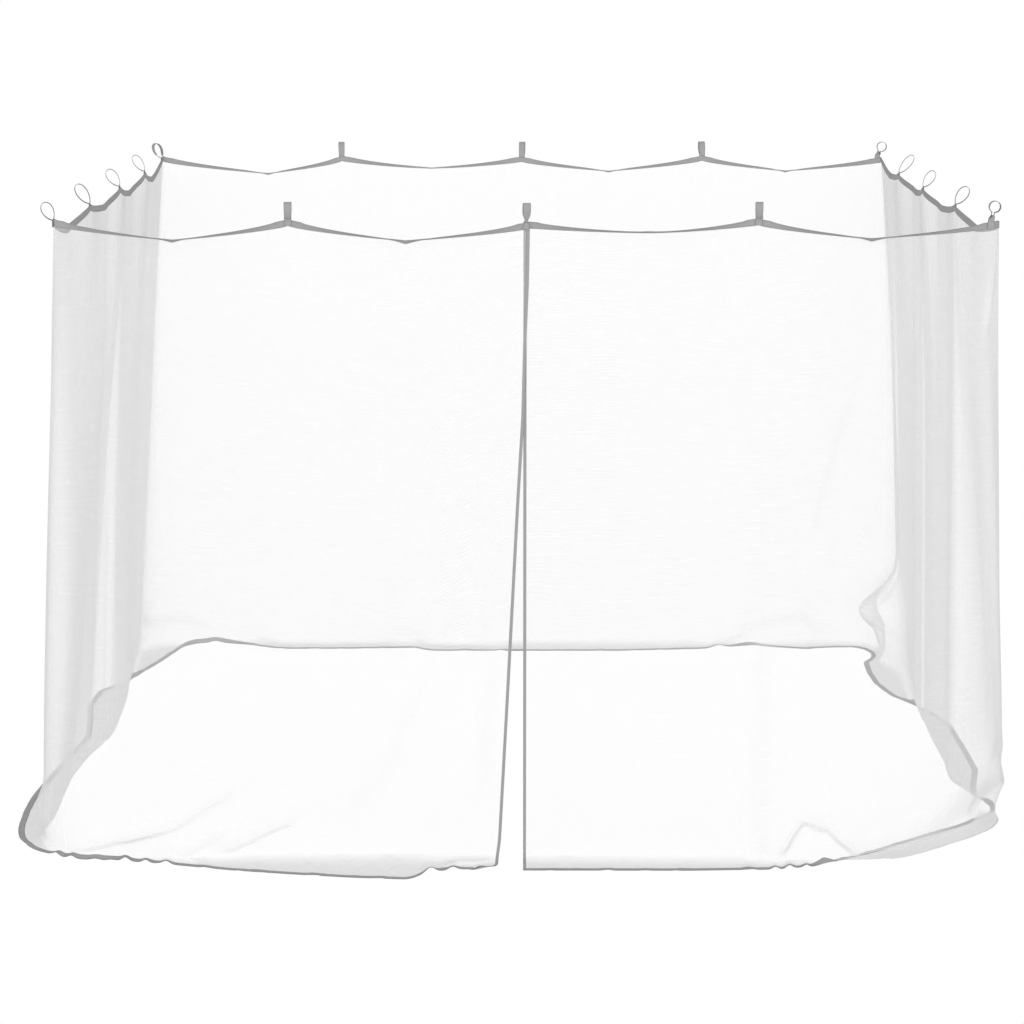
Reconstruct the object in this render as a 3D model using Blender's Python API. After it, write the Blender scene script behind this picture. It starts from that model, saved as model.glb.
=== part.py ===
"""Mosquito net canopy: four hanging net walls for a gazebo, open at the top, hung by tape loops.

Metres, +Z up. The origin is the middle of the rectangle of rails, at the height of the rails,
so the floor is at z = -DROP. The front is towards -Y. A place on the walls is given by its
`run`, the distance in metres around the rails: it starts at the front opening and goes by the
right wall, the back and the left wall back to the opening.
"""

import math
from collections import namedtuple

import bmesh
import bpy
import numpy as np
from mathutils import Vector

# --- driving sizes -------------------------------------------------------------------------
SIDE = 3.0  # the rectangle of rails, each way
HALF = SIDE / 2
DROP = 2.15  # rails to floor
LOOPS_A_SIDE = 4  # spans between loops on each wall, so 16 loops in all
PITCH = SIDE / LOOPS_A_SIDE
NET_THICK = 0.0016
TAPE_THICK = 0.0026
HEADING_WIDTH = 0.022
HEM_WIDTH = 0.022
BINDING_WIDTH = 0.010
LOOP_WIDTH = 0.025
LOOP_THICK = 0.0024
SEAM_GAP = 0.0005
FLOOR_CLEAR = 0.0016  # middle of the cloth above the floor
FOOT_BLUR = 0.035  # softening of the foot between the rows of its table
COLUMN = 0.085  # spacing of the mesh around the walls
COLUMNS_IN_SPAN = 6
NUDGE = 0.003  # step along the cloth by which its slope is measured
LOW_PULL = 0.008  # the top edge lies this far in from the rails between two loops
SAG_POWER = 0.9  # roundness of the top edge's sag where it is a round one
SHARP_POWER = 0.7  # and where it is a pointed one
LEAN_START = 0.11  # share of the way to the lowest point at which the tape starts to lean out
LEAN_POWER = 0.35  # power by which it leans out from there
FLOP_POWER = 10  # power by which it flops over near the lowest point
UPRIGHT = 0.2  # share of the tape's width that stays upright where the rest flops over
CURL_STEPS = 6
PULL_FADE = 5  # power by which the loops' pull fades on its way down
PULL_REACH = 0.8  # share of the way to the lowest point at which a loop stops drawing it in
FLARE = 0.3  # how much sooner than evenly the wall swings outward on its way down
LATE_POWER = 7  # power by which the late part of a foot's distance comes on down the wall
HEM_LAG = 1.6  # power by which the cloth bends late towards its hem on the floor
WALL_STEPS = 40
FLOOR_STEPS = 24
CORNER_TOP_RADIUS = 0.02
CORNER_GROWTH = 3.5  # power by which a corner rounds off on its way down
LOOP_PINCH = 0.55  # angle at which a loop's two sides come together
LOOP_BELLY = 0.52  # half of a loop's breadth as a share of its width before it narrows
LOOP_TAPER = 0.5  # power by which a loop narrows towards its foot
LOOP_STEPS = 18
NECK_STEPS = 5
NECK_DRAW = 0.0006  # a twisted neck is a little narrower at its top


def table(columns, *rows):
    """A short table with named columns."""
    Row = namedtuple("Row", columns)
    return [Row(*row) for row in rows]


# The five cloths, as runs around the rails.
PANELS = table(
    "name start end",
    ("front_right", 0.0, 1.5),
    ("right", 1.5, 4.5),
    ("back", 4.5, 7.5),
    ("left", 7.5, 10.5),
    ("front_left", 10.5, 12.0),
)

# How far each corner has rounded off where it meets the floor.
CORNERS = table(
    "name radius",
    ("front_right", 0.55),
    ("back_right", 0.25),
    ("back_left", 0.22),
    ("front_left", 0.14),
)

# Where a loop is sewn on: the height of the heading's top edge there, and how far in from the
# rail it is drawn. Then the loop's lean outward in degrees, its length and width, and for the
# twisted loops the neck's length and its turn.
LOOPS = table(
    "name run height pull lean long wide neck turn",
    ("front_middle", 11.988, -0.059, 0.014, 32, 0.074, 0.034, 0, 0),
    ("front_right_middle", 0.75, -0.050, 0.016, 34, 0.062, 0.038, 0, 0),
    ("corner_front_right", 1.484, -0.055, -0.010, 9, 0.036, 0.036, 0.031, 90),
    ("right_front", 2.25, -0.066, 0.025, 34, 0.070, 0.041, 0, 0),
    ("right_middle", 3.00, -0.065, 0.035, 33, 0.069, 0.038, 0, 0),
    ("right_back", 3.75, -0.068, 0.030, 38, 0.086, 0.036, 0, 0),
    ("corner_back_right", 4.52, -0.054, 0.008, 15, 0.040, 0.038, 0.028, -90),
    ("back_right_middle", 5.25, -0.048, 0.016, 32, 0.062, 0.040, 0, 0),
    ("back_middle", 6.00, -0.053, 0.018, 35, 0.068, 0.038, 0, 0),
    ("back_left_middle", 6.75, -0.050, 0.016, 32, 0.062, 0.040, 0, 0),
    ("corner_back_left", 7.52, -0.051, 0.008, 26, 0.066, 0.038, 0, 0),
    ("left_back", 8.25, -0.061, 0.026, 34, 0.073, 0.038, 0, 0),
    ("left_middle", 9.00, -0.062, 0.026, 35, 0.072, 0.043, 0, 0),
    ("left_front", 9.75, -0.065, 0.022, 33, 0.078, 0.042, 0, 0),
    ("corner_front_left", 10.48, -0.050, 0.008, 27, 0.062, 0.041, 0, 0),
    ("front_left_middle", 11.25, -0.052, 0.016, 33, 0.063, 0.040, 0, 0),
)

# The sag of the top edge between two loops: where its lowest point lies as a share of the
# span, the height of that point, how sharp the sag's point is, and the tape's lean outward in
# degrees, which grows by `lean` along the sag and comes to `flop` in the lowest place.
SPANS = table(
    "low_share low_height sharp lean flop",
    (0.535, -0.086, 0.4, 90, 77),
    (0.477, -0.105, 1.0, 90, 119),
    (0.54, -0.116, 0.6, 20, 35),
    (0.61, -0.118, 0.6, 5, 15),
    (0.52, -0.116, 0.8, 10, 25),
    (0.60, -0.112, 0.6, 15, 30),
    (0.535, -0.104, 1.0, 90, 122),
    (0.518, -0.105, 1.0, 90, 120),
    (0.50, -0.093, 0.45, 90, 95),
    (0.41, -0.115, 1.0, 90, 122),
    (0.47, -0.122, 0.9, 10, 20),
    (0.44, -0.121, 0.8, 5, 20),
    (0.37, -0.116, 0.8, 10, 25),
    (0.59, -0.113, 0.5, 15, 30),
    (0.51, -0.110, 1.0, 90, 113),
    (0.487, -0.112, 1.0, 90, 125),
)

# The foot of the walls: outward distance of the fold where the cloth meets the floor and of the
# hem's edge, both from the line of the rails, and the height at which the cloth starts to bend.
# Where the hem is tucked in, the cloth first draws in and then swells out before it.
FOOT = table(
    "run fold hem bend draw swell",
    (0.00, 0.055, 0.160, 0.030, 0.0, 0.0),
    (0.59, 0.060, 0.162, 0.030, 0.0, 0.0),
    (0.80, 0.062, 0.152, 0.040, 0.0, 0.0),
    (0.91, 0.064, 0.149, 0.050, 0.0, 0.0),
    (1.02, 0.068, 0.128, 0.110, 0.0, 0.0),
    (1.10, 0.069, 0.043, 0.100, 0.0, 0.0),
    (1.16, 0.063, 0.028, 0.080, 0.0, 0.0),
    (1.23, 0.054, 0.010, 0.080, 0.0, 0.020),
    (1.29, 0.044, 0.002, 0.090, 0.0, 0.055),
    (1.42, 0.062, -0.020, 0.160, 0.0, 0.052),
    (1.50, 0.076, -0.020, 0.220, 0.008, 0.046),
    (1.57, 0.084, -0.015, 0.260, 0.016, 0.051),
    (1.68, 0.108, 0.006, 0.250, 0.036, 0.056),
    (1.75, 0.125, 0.036, 0.200, 0.058, 0.058),
    (1.86, 0.145, 0.070, 0.140, 0.052, 0.052),
    (1.92, 0.158, 0.116, 0.110, 0.010, 0.0),
    (1.98, 0.140, 0.130, 0.090, 0.0, 0.0),
    (2.04, 0.118, 0.128, 0.085, 0.0, 0.0),
    (2.15, 0.061, 0.106, 0.095, 0.0, 0.0),
    (2.28, 0.018, 0.120, 0.045, 0.0, 0.0),
    (2.52, 0.036, 0.161, 0.030, 0.0, 0.0),
    (2.84, 0.036, 0.161, 0.030, 0.0, 0.0),
    (3.20, 0.036, 0.155, 0.035, 0.0, 0.0),
    (3.42, 0.040, 0.110, 0.050, 0.0, 0.0),
    (3.50, 0.050, 0.065, 0.070, 0.0, 0.0),
    (3.68, 0.060, -0.020, 0.090, 0.0, 0.0),
    (3.88, 0.067, -0.063, 0.120, 0.0, 0.0),
    (4.09, 0.070, -0.073, 0.150, 0.0, 0.0),
    (4.29, 0.070, -0.066, 0.150, 0.0, 0.0),
    (4.45, 0.125, 0.029, 0.130, 0.0, 0.0),
    (4.53, 0.133, 0.069, 0.120, 0.0, 0.0),
    (4.72, 0.080, -0.024, 0.110, 0.0, 0.0),
    (4.86, 0.077, 0.011, 0.120, 0.0, 0.0),
    (4.98, 0.073, 0.052, 0.110, 0.0, 0.0),
    (5.10, 0.070, 0.014, 0.080, 0.0, 0.0),
    (5.20, 0.070, -0.017, 0.060, 0.0, 0.0),
    (5.57, 0.064, -0.054, 0.035, 0.0, 0.0),
    (6.40, 0.062, -0.055, 0.030, 0.0, 0.0),
    (6.48, 0.064, 0.001, 0.030, 0.0, 0.0),
    (6.78, 0.070, -0.018, 0.030, 0.0, 0.0),
    (7.06, 0.078, -0.019, 0.040, 0.0, 0.0),
    (7.14, 0.086, 0.019, 0.050, 0.0, 0.0),
    (7.21, 0.092, 0.056, 0.060, 0.0, 0.0),
    (7.32, 0.098, 0.090, 0.070, 0.0, 0.0),
    (7.43, 0.104, 0.096, 0.070, 0.0, 0.0),
    (7.53, 0.108, 0.014, 0.070, 0.0, 0.0),
    (7.62, 0.110, -0.006, 0.065, 0.0, 0.0),
    (7.74, 0.108, 0.017, 0.055, 0.0, 0.0),
    (7.92, 0.104, 0.070, 0.045, 0.0, 0.0),
    (8.01, 0.098, 0.086, 0.040, 0.0, 0.0),
    (8.24, 0.080, 0.208, 0.035, 0.0, 0.0),
    (8.50, 0.060, 0.216, 0.030, 0.0, 0.0),
    (8.70, 0.052, 0.188, 0.030, 0.0, 0.0),
    (8.96, 0.044, 0.159, 0.030, 0.0, 0.0),
    (9.20, 0.052, 0.180, 0.030, 0.0, 0.0),
    (9.32, 0.058, 0.190, 0.030, 0.0, 0.0),
    (9.48, 0.070, 0.205, 0.035, 0.0, 0.0),
    (9.62, 0.080, 0.215, 0.035, 0.0, 0.0),
    (9.73, 0.078, 0.226, 0.035, 0.0, 0.0),
    (9.88, 0.078, 0.232, 0.040, 0.0, 0.0),
    (10.01, 0.076, 0.229, 0.040, 0.0, 0.0),
    (10.17, 0.078, 0.220, 0.040, 0.0, 0.0),
    (10.26, 0.088, 0.209, 0.040, 0.0, 0.0),
    (10.35, 0.092, 0.187, 0.045, 0.0, 0.0),
    (10.41, 0.080, 0.150, 0.050, 0.0, 0.0),
    (10.45, 0.070, 0.105, 0.050, 0.0, 0.0),
    (10.49, 0.055, 0.085, 0.050, 0.0, 0.0),
    (10.54, 0.040, 0.060, 0.040, 0.0, 0.0),
    (10.62, 0.030, 0.050, 0.030, 0.0, 0.0),
    (10.74, 0.040, 0.076, 0.030, 0.0, 0.0),
    (10.82, 0.055, 0.098, 0.030, 0.0, 0.0),
    (10.90, 0.055, 0.120, 0.030, 0.0, 0.0),
    (11.04, 0.055, 0.162, 0.030, 0.0, 0.0),
    (11.25, 0.055, 0.205, 0.030, 0.0, 0.0),
    (11.45, 0.055, 0.237, 0.030, 0.0, 0.0),
    (11.69, 0.055, 0.258, 0.030, 0.0, 0.0),
    (11.75, 0.055, 0.165, 0.035, 0.0, 0.0),
    (11.80, 0.054, 0.168, 0.035, 0.0, 0.0),
    (11.86, 0.054, 0.130, 0.040, 0.0, 0.0),
    (11.92, 0.054, 0.160, 0.030, 0.0, 0.0),
    (12.00, 0.055, 0.130, 0.030, 0.0, 0.0),
)

# How much of that outward distance the wall only reaches low down.
LATE_FOLD = table(
    "run late",
    (1.76, 0.0),
    (1.86, 0.040),
    (1.92, 0.060),
    (1.98, 0.055),
    (2.04, 0.040),
    (2.15, 0.0),
    (9.20, 0.0),
    (9.40, 0.020),
    (9.62, 0.035),
    (9.88, 0.040),
    (10.10, 0.038),
    (10.22, 0.024),
    (10.32, -0.010),
    (10.42, -0.024),
    (10.50, -0.010),
    (10.58, 0.0),
)

# Long folds of the walls: from a place high on the wall to one low on it, with the depth of the
# fold (outward is positive), the half of its width on the side of the smaller runs and on the
# other one, the share of depth and width it has at its top, and whether it runs on to the floor.
FOLDS = table(
    "top_run top_height low_run low_height depth before after early to_floor",
    (2.28, -0.08, 2.20, -2.00, 0.036, 0.400, 0.120, 0.22, False),
    (4.60, -1.00, 4.80, -1.78, 0.014, 0.070, 0.070, 1.0, False),
    (5.30, -0.60, 5.26, -2.00, 0.010, 0.090, 0.090, 1.0, True),
    (7.20, -0.30, 7.28, -2.00, 0.012, 0.100, 0.100, 1.0, True),
    (8.80, -0.20, 9.28, -2.00, 0.045, 0.150, 0.900, 0.18, True),
    (10.95, -1.78, 10.66, -2.10, 0.014, 0.060, 0.060, 1.0, False),
    (11.40, -1.86, 10.98, -2.13, 0.012, 0.060, 0.060, 1.0, False),
    (11.90, -1.30, 11.93, -1.95, 0.010, 0.035, 0.035, 1.0, False),
)

# Round pushes in the cloth, low on the walls.
DENTS = table(
    "run height depth half_run half_height",
    (4.30, -1.93, -0.160, 0.19, 0.105),
    (10.34, -2.03, 0.030, 0.07, 0.06),
    (1.98, -2.02, 0.025, 0.12, 0.10),
)

# How far the left front cloth's free edge has drifted past the middle of the opening.
OPENING = table(
    "height drift",
    (-0.06, 0.012),
    (-0.43, 0.002),
    (-0.95, -0.016),
    (-1.60, -0.050),
    (-2.08, -0.078),
    (-2.15, -0.110),
)
OPENING_REACH = 0.8  # the drift fades out this far from the free edge
DRIFT_BLUR = 0.01
OVERLAP_LIFT = 0.007  # the left front cloth hangs this far before the right one at the opening
OVERLAP_START = 11.7
OVERLAP_RISE = 0.2

# Distances up from the hem's lower edge at which the net has a row of points.
NET_ROWS = (0.050, 0.085, 0.125, 0.170, 0.235, 0.330, 0.480, 0.720, 1.020, 1.340, 1.640, 1.860)
TOP_ROW = 0.060  # one more row this far below the net's top edge
TAB_CLEAR = 0.003  # the mesh has a column this far beside each loop's tape
TAB_GATHER = 0.040  # and one this far from its middle
FOLD_GROWTH = 0.45  # a long fold deepens over this share of its length
FOLD_FADE = (0.75, 0.35)  # one that ends above the floor fades from the first share, over the second

WEAVE = {"net": (0.94, 0.94, 0.94, 1.0), "tape": (0.36, 0.36, 0.37, 1.0)}
ROUGHNESS = {"net": 0.9, "tape": 0.8}


# --- small helpers --------------------------------------------------------------------------
def smooth(share):
    """0 to 1 with soft ends."""
    share = min(max(share, 0.0), 1.0)
    return share * share * (3 - 2 * share)


def hump(distance, half):
    """1 in the middle, fading to 0 about twice the half width away."""
    return math.exp(-((distance / half) ** 2))


def looked_up(rows, column, place, key, blur):
    """The column's value at a place, straight between the rows and softened at them."""
    keys = [getattr(row, key) for row in rows]
    values = [getattr(row, column) for row in rows]
    near = np.linspace(place - blur, place + blur, 5)
    return float(np.mean(np.interp(near, keys, values)))


def foot(column, run):
    return looked_up(FOOT, column, run, "run", FOOT_BLUR)


def drift(height):
    rows = sorted(OPENING)
    return looked_up(rows, "drift", height, "height", DRIFT_BLUR)


# --- the shape of the cloth -----------------------------------------------------------------
def on_rails(run, down):
    """The point of the rounded rectangle at a run, and the outward direction there."""
    side = int((run + HALF) // SIDE) % 4
    along = (run + HALF) % SIDE - HALF
    corner = CORNERS[side] if along > 0 else CORNERS[side - 1]
    radius = CORNER_TOP_RADIUS + (corner.radius - CORNER_TOP_RADIUS) * down**CORNER_GROWTH
    straight = HALF - radius
    walked = abs(along) / HALF * (straight + radius * math.pi / 4)
    turned = max(walked - straight, 0.0) / radius
    sideways = min(walked, straight) + radius * math.sin(turned)
    inset = radius * (1 - math.cos(turned))
    sign = 1 if along > 0 else -1
    point = Vector((sign * sideways, inset - HALF, 0))
    outward = Vector((sign * math.sin(turned), -math.cos(turned), 0))
    turn = side * math.pi / 2
    return turned_about_z(point, turn), turned_about_z(outward, turn)


def turned_about_z(vector, angle):
    c = math.cos(angle)
    s = math.sin(angle)
    return Vector((c * vector.x - s * vector.y, s * vector.x + c * vector.y, vector.z))


def top_edge(run):
    """At the heading's lower seam: its height, the tape's lean outward, and its distance in."""
    run = min(max(run, 0.0), PANELS[-1].end)
    index = min(int(run / PITCH), len(SPANS) - 1)
    span = SPANS[index]
    share = run / PITCH - index
    if share < span.low_share:
        fall = share / span.low_share
        seat = LOOPS[index]
    else:
        fall = (1 - share) / (1 - span.low_share)
        seat = LOOPS[(index + 1) % len(LOOPS)]
    round_sag = math.sin(fall * math.pi / 2) ** SAG_POWER
    sag = (1 - span.sharp) * round_sag + span.sharp * fall**SHARP_POWER
    high = seat.height - HEADING_WIDTH
    low = span.low_height - HEADING_WIDTH / 2
    leant = max(fall - LEAN_START, 0.0) / (1 - LEAN_START)
    lean = span.lean * leant**LEAN_POWER + (span.flop - span.lean) * leant**FLOP_POWER
    pull = seat.pull + (LOW_PULL - seat.pull) * smooth(fall / PULL_REACH)
    return high + (low - high) * sag, math.radians(lean), pull


def fold_depth(run, height):
    """Outward push of the long folds and the dents at a place on the wall."""
    depth = 0.0
    for fold in FOLDS:
        share = (fold.top_height - height) / (fold.top_height - fold.low_height)
        middle = fold.top_run + (fold.low_run - fold.top_run) * min(max(share, 0), 1.1)
        fade = smooth(share / FOLD_GROWTH)
        if not fold.to_floor:
            start, length = FOLD_FADE
            fade *= 1 - smooth((share - start) / length)
        grown = fold.early + (1 - fold.early) * min(max(share, 0), 1)
        half = grown * (fold.before if run < middle else fold.after)
        depth += fold.depth * fade * grown * hump(run - middle, half)
    for dent in DENTS:
        across = hump(run - dent.run, dent.half_run)
        depth += dent.depth * across * hump(height - dent.height, dent.half_height)
    return depth


def flare(share):
    """How the wall swings outward on its way down, as a share of its swing at the foot."""
    return share * (1 + FLARE * (1 - share))


def section(run):
    """The cloth cut at one run, from the heading's seam to the hem: (outward, height) points."""
    seam, _, pull = top_edge(run)
    fold = foot("fold", run)
    hem = foot("hem", run)
    bend = foot("bend", run)
    draw = foot("draw", run)
    swell = foot("swell", run)
    late = np.interp(run, [row.run for row in LATE_FOLD], [row.late for row in LATE_FOLD])
    floor = -DROP + FLOOR_CLEAR
    points = []
    for step in range(WALL_STEPS):
        share = step / WALL_STEPS
        height = seam + (floor + bend - seam) * share
        drawn_in = LOW_PULL * (1 - share) + (pull - LOW_PULL) * (1 - share) ** PULL_FADE
        outward = (fold - late) * flare(share) + late * share**LATE_POWER - drawn_in
        outward += fold_depth(run, height)
        points.append((outward, height))
    last_fold = fold_depth(run, floor + bend)
    for step in range(FLOOR_STEPS + 1):
        share = step / FLOOR_STEPS
        height = floor + bend * (1 - share) ** 3
        outward = fold + (hem - fold) * share**HEM_LAG + last_fold * (1 - share) ** 2
        outward -= (draw if share < 0.5 else swell) * math.sin(2 * math.pi * share)
        points.append((outward, height))
    return points


class Cloth:
    """The whole cloth as one surface: a point for a run and a distance up from the hem."""

    def __init__(self):
        self.sections = {}

    def cut(self, run):
        key = round(run, 5)
        if key not in self.sections:
            points = np.array(section(run))
            lengths = np.linalg.norm(np.diff(points, axis=0), axis=1)
            up = np.concatenate([[0.0], np.cumsum(lengths[::-1])])
            self.sections[key] = (up, points[::-1])
        return self.sections[key]

    def height(self, run):
        """Length of the cloth from the hem's edge up to the heading's seam."""
        return self.cut(run)[0][-1]

    def place(self, run, outward, height):
        """A point in space, with the drift of the free edge at the opening."""
        down = min(max(-height / DROP, 0.0), 1.0)
        near = smooth((run - (PANELS[-1].end - OPENING_REACH)) / OPENING_REACH)
        point, direction = on_rails(run, down)
        lift = OVERLAP_LIFT * smooth((run - OVERLAP_START) / OVERLAP_RISE)
        point = point + direction * (outward + lift)
        point.x += drift(height) * near
        point.z = height
        return point

    def point(self, run, up):
        distances, points = self.cut(run)
        outward = np.interp(up, distances, points[:, 0])
        height = np.interp(up, distances, points[:, 1])
        return self.place(run, outward, height)

    def heading_point(self, run, up):
        """A point on the heading tape, which bends outward as it leans and flops over."""
        seam, lean, pull = top_edge(run)
        outward = fold_depth(run, seam) - pull
        upright = UPRIGHT * HEADING_WIDTH
        height = seam + min(up, upright)
        rest = max(up - upright, 0.0)
        for step in range(CURL_STEPS):
            angle = lean * (step + 0.5) / CURL_STEPS * rest / (HEADING_WIDTH - upright)
            outward += math.sin(angle) * rest / CURL_STEPS
            height += math.cos(angle) * rest / CURL_STEPS
        return self.place(run, outward, height)


CLOTH = Cloth()


def columns(start, end):
    """Runs of the mesh's columns: the ends, and a set in each span between two loops."""
    near = [LOOP_WIDTH / 2 + TAB_CLEAR, TAB_GATHER]
    middle = list(np.linspace(near[-1] + COLUMN, PITCH - near[-1] - COLUMN, COLUMNS_IN_SPAN))
    in_span = near + middle + [PITCH - distance for distance in reversed(near)]
    spans = round((end - start) / PITCH)
    first = round(start / PITCH) * PITCH
    return [start, *(first + span * PITCH + at for span in range(spans) for at in in_span), end]


# --- making solids --------------------------------------------------------------------------
def material(kind):
    made = bpy.data.materials.new(kind)
    made.use_nodes = True
    shader = made.node_tree.nodes["Principled BSDF"]
    shader.inputs["Base Color"].default_value = WEAVE[kind]
    shader.inputs["Roughness"].default_value = ROUGHNESS[kind]
    shader.inputs["Metallic"].default_value = 0.0
    made.diffuse_color = WEAVE[kind]
    return made


def add_object(name, mesh_maker, kind, parent):
    """A named object from a bmesh that the maker fills, with its own material."""
    bm = bmesh.new()
    mesh_maker(bm)
    bmesh.ops.recalc_face_normals(bm, faces=bm.faces)
    bmesh.ops.triangulate(bm, faces=bm.faces)
    mesh = bpy.data.meshes.new(name)
    bm.to_mesh(mesh)
    bm.free()
    mesh.materials.append(material(kind))
    mesh.shade_smooth()
    mesh.set_sharp_from_angle(angle=math.radians(50))
    made = bpy.data.objects.new(name, mesh)
    bpy.context.scene.collection.objects.link(made)
    made.parent = parent
    return made


def sheet_maker(grid, thickness):
    """A maker of a closed sheet of even thickness on a grid of points and unit normals."""
    grid, normal = grid
    faces_of_sheet = (grid + normal * thickness / 2, grid - normal * thickness / 2)
    wide, tall = grid.shape[:2]

    def fill(bm):
        outer, inner = ([[bm.verts.new(p) for p in row] for row in face] for face in faces_of_sheet)
        for i in range(wide - 1):
            for j in range(tall - 1):
                bm.faces.new((outer[i][j], outer[i + 1][j], outer[i + 1][j + 1], outer[i][j + 1]))
                bm.faces.new((inner[i][j], inner[i][j + 1], inner[i + 1][j + 1], inner[i + 1][j]))
        rim = [(i, 0) for i in range(wide)] + [(wide - 1, j) for j in range(1, tall)]
        rim += [(i, tall - 1) for i in range(wide - 2, -1, -1)]
        rim += [(0, j) for j in range(tall - 2, 0, -1)]
        for (i, j), (k, m) in zip(rim, rim[1:] + rim[:1]):
            bm.faces.new((outer[i][j], inner[i][j], inner[k][m], outer[k][m]))

    return fill


def grid_of(runs, rows_at, point_at):
    """Points and normals of a sheet: point_at(run, up) for each run and each of its rows."""
    grid, before, after, below, above = (
        np.array([[point_at(run + aside, up + higher) for up in rows_at(run)] for run in runs])
        for aside, higher in ((0, 0), (-NUDGE, 0), (NUDGE, 0), (0, -NUDGE), (0, NUDGE))
    )
    normal = np.cross(after - before, above - below)
    return grid, normal / np.linalg.norm(normal, axis=2, keepdims=True)


def net_rows(run):
    """Distances up from the hem's edge, from the hem tape to the heading's seam."""
    top = CLOTH.height(run) - SEAM_GAP / 2
    stretch = (top - TOP_ROW) / (DROP - 0.05)
    return [HEM_WIDTH + SEAM_GAP, *(row * stretch for row in NET_ROWS), top - TOP_ROW, top]


def hem_rows(run):
    return [0.0, HEM_WIDTH]


def heading_rows(run):
    return [SEAM_GAP / 2, HEADING_WIDTH * 0.25, HEADING_WIDTH * 0.6, HEADING_WIDTH]


def add_cloth(panel, parent):
    """One cloth with its heading, its hem and, at the opening, the binding of its free edge."""
    start = panel.start + SEAM_GAP / 2
    end = panel.end - SEAM_GAP / 2
    runs = columns(start, end)
    net_runs = list(runs)
    bound = None
    if panel.name == "front_right":
        bound = (start, start + BINDING_WIDTH)
        net_runs[0] = start + BINDING_WIDTH + SEAM_GAP
    if panel.name == "front_left":
        bound = (end - BINDING_WIDTH, end)
        net_runs[-1] = end - BINDING_WIDTH - SEAM_GAP
    net = grid_of(net_runs, net_rows, CLOTH.point)
    add_object(f"net_{panel.name}", sheet_maker(net, NET_THICK), "net", parent)
    heading = grid_of(runs, heading_rows, CLOTH.heading_point)
    add_object(f"heading_{panel.name}", sheet_maker(heading, TAPE_THICK), "tape", parent)
    hem = grid_of(runs, hem_rows, CLOTH.point)
    add_object(f"hem_{panel.name}", sheet_maker(hem, TAPE_THICK), "tape", parent)
    if bound:
        binding = grid_of(bound, net_rows, CLOTH.point)
        add_object(f"binding_{panel.name}", sheet_maker(binding, TAPE_THICK), "tape", parent)


# --- loops ----------------------------------------------------------------------------------
def teardrop(long, wide):
    """Centre line of a hanging loop, its point at the origin: (outward, up) pairs."""
    angles = np.linspace(LOOP_PINCH, 2 * math.pi - LOOP_PINCH, LOOP_STEPS)
    across = wide * LOOP_BELLY * np.sin(angles) * np.sin(angles / 2) ** LOOP_TAPER
    up = long / 2 * (1 - np.cos(angles))
    return np.stack([across, up], axis=1)


def ring(long, wide):
    """Centre line of a twisted loop's open ring, its lowest point at the origin."""
    angles = np.linspace(LOOP_PINCH / 2, 2 * math.pi - LOOP_PINCH / 2, LOOP_STEPS)
    return np.stack([wide / 2 * np.sin(angles), long / 2 * (1 - np.cos(angles))], axis=1)


def outlines(line, lean):
    """The outer and the inner outline of a tape on a centre line, leaned outward."""
    tangent = np.gradient(line, axis=0)
    normal = np.stack([tangent[:, 1], -tangent[:, 0]], axis=1)
    normal /= np.linalg.norm(normal, axis=1, keepdims=True)
    c = math.cos(math.radians(lean))
    s = math.sin(math.radians(lean))
    turn = np.array([[c, -s], [s, c]])
    half = LOOP_THICK / 2
    return (line + normal * half) @ turn, (line - normal * half) @ turn


def loop_maker(outer, inner, tail, frame):
    """A maker of a loop: flat outlines of its ring and its tail, drawn out along its tunnel."""
    origin, outward, along = frame

    def ends_at(bm, flat, side):
        return [
            bm.verts.new(origin + outward * across + Vector((0, 0, up)) + along * side)
            for across, up in flat
        ]

    def fill(bm):
        ends = []
        for side in (-LOOP_WIDTH / 2, LOOP_WIDTH / 2):
            outside = ends_at(bm, outer, side)
            inside = ends_at(bm, inner, side)
            foot_of_loop = ends_at(bm, tail, side)
            for i in range(len(outside) - 1):
                bm.faces.new((outside[i], outside[i + 1], inside[i + 1], inside[i]))
            bm.faces.new((outside[-1], inside[-1], inside[0], outside[0], *foot_of_loop))
            ends.append((outside + foot_of_loop[::-1], inside))
        for near, far in zip(*ends):
            for i in range(len(near)):
                k = (i + 1) % len(near)
                bm.faces.new((near[i], near[k], far[k], far[i]))

    return fill


def neck_maker(origin, outward, along, loop):
    """A maker of a twisted loop's neck: two layers of tape that turn on their way up."""
    lean = Vector(along) * math.sin(math.radians(loop.lean)) * math.copysign(1, loop.turn)
    heights = [-HEADING_WIDTH, 0.0] + [loop.neck * k / NECK_STEPS for k in range(1, NECK_STEPS + 1)]

    def fill(bm):
        sections = []
        for up in heights:
            share = smooth(up / loop.neck)
            angle = math.radians(loop.turn) * share
            across = along * math.cos(angle) - outward * math.sin(angle)
            through = outward * math.cos(angle) + along * math.sin(angle)
            middle = origin + Vector((0, 0, up)) + lean * max(up, 0)
            wide = across * (LOOP_WIDTH / 2 - NECK_DRAW * share)
            thick = through * LOOP_THICK
            corners = (wide + thick, wide - thick, -wide - thick, thick - wide)
            sections.append([bm.verts.new(middle + corner) for corner in corners])
        for low, high in zip(sections, sections[1:]):
            for i in range(4):
                k = (i + 1) % 4
                bm.faces.new((low[i], low[k], high[k], high[i]))
        bm.faces.new(sections[0])
        bm.faces.new(sections[-1])

    return fill


def join(main_piece, added):
    """Fuse a second solid into the first; the second stays as a guide."""
    fuse = main_piece.modifiers.new("fuse", "BOOLEAN")
    fuse.operation = "UNION"
    fuse.object = added
    added.hide_render = True
    added.display_type = "WIRE"


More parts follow.
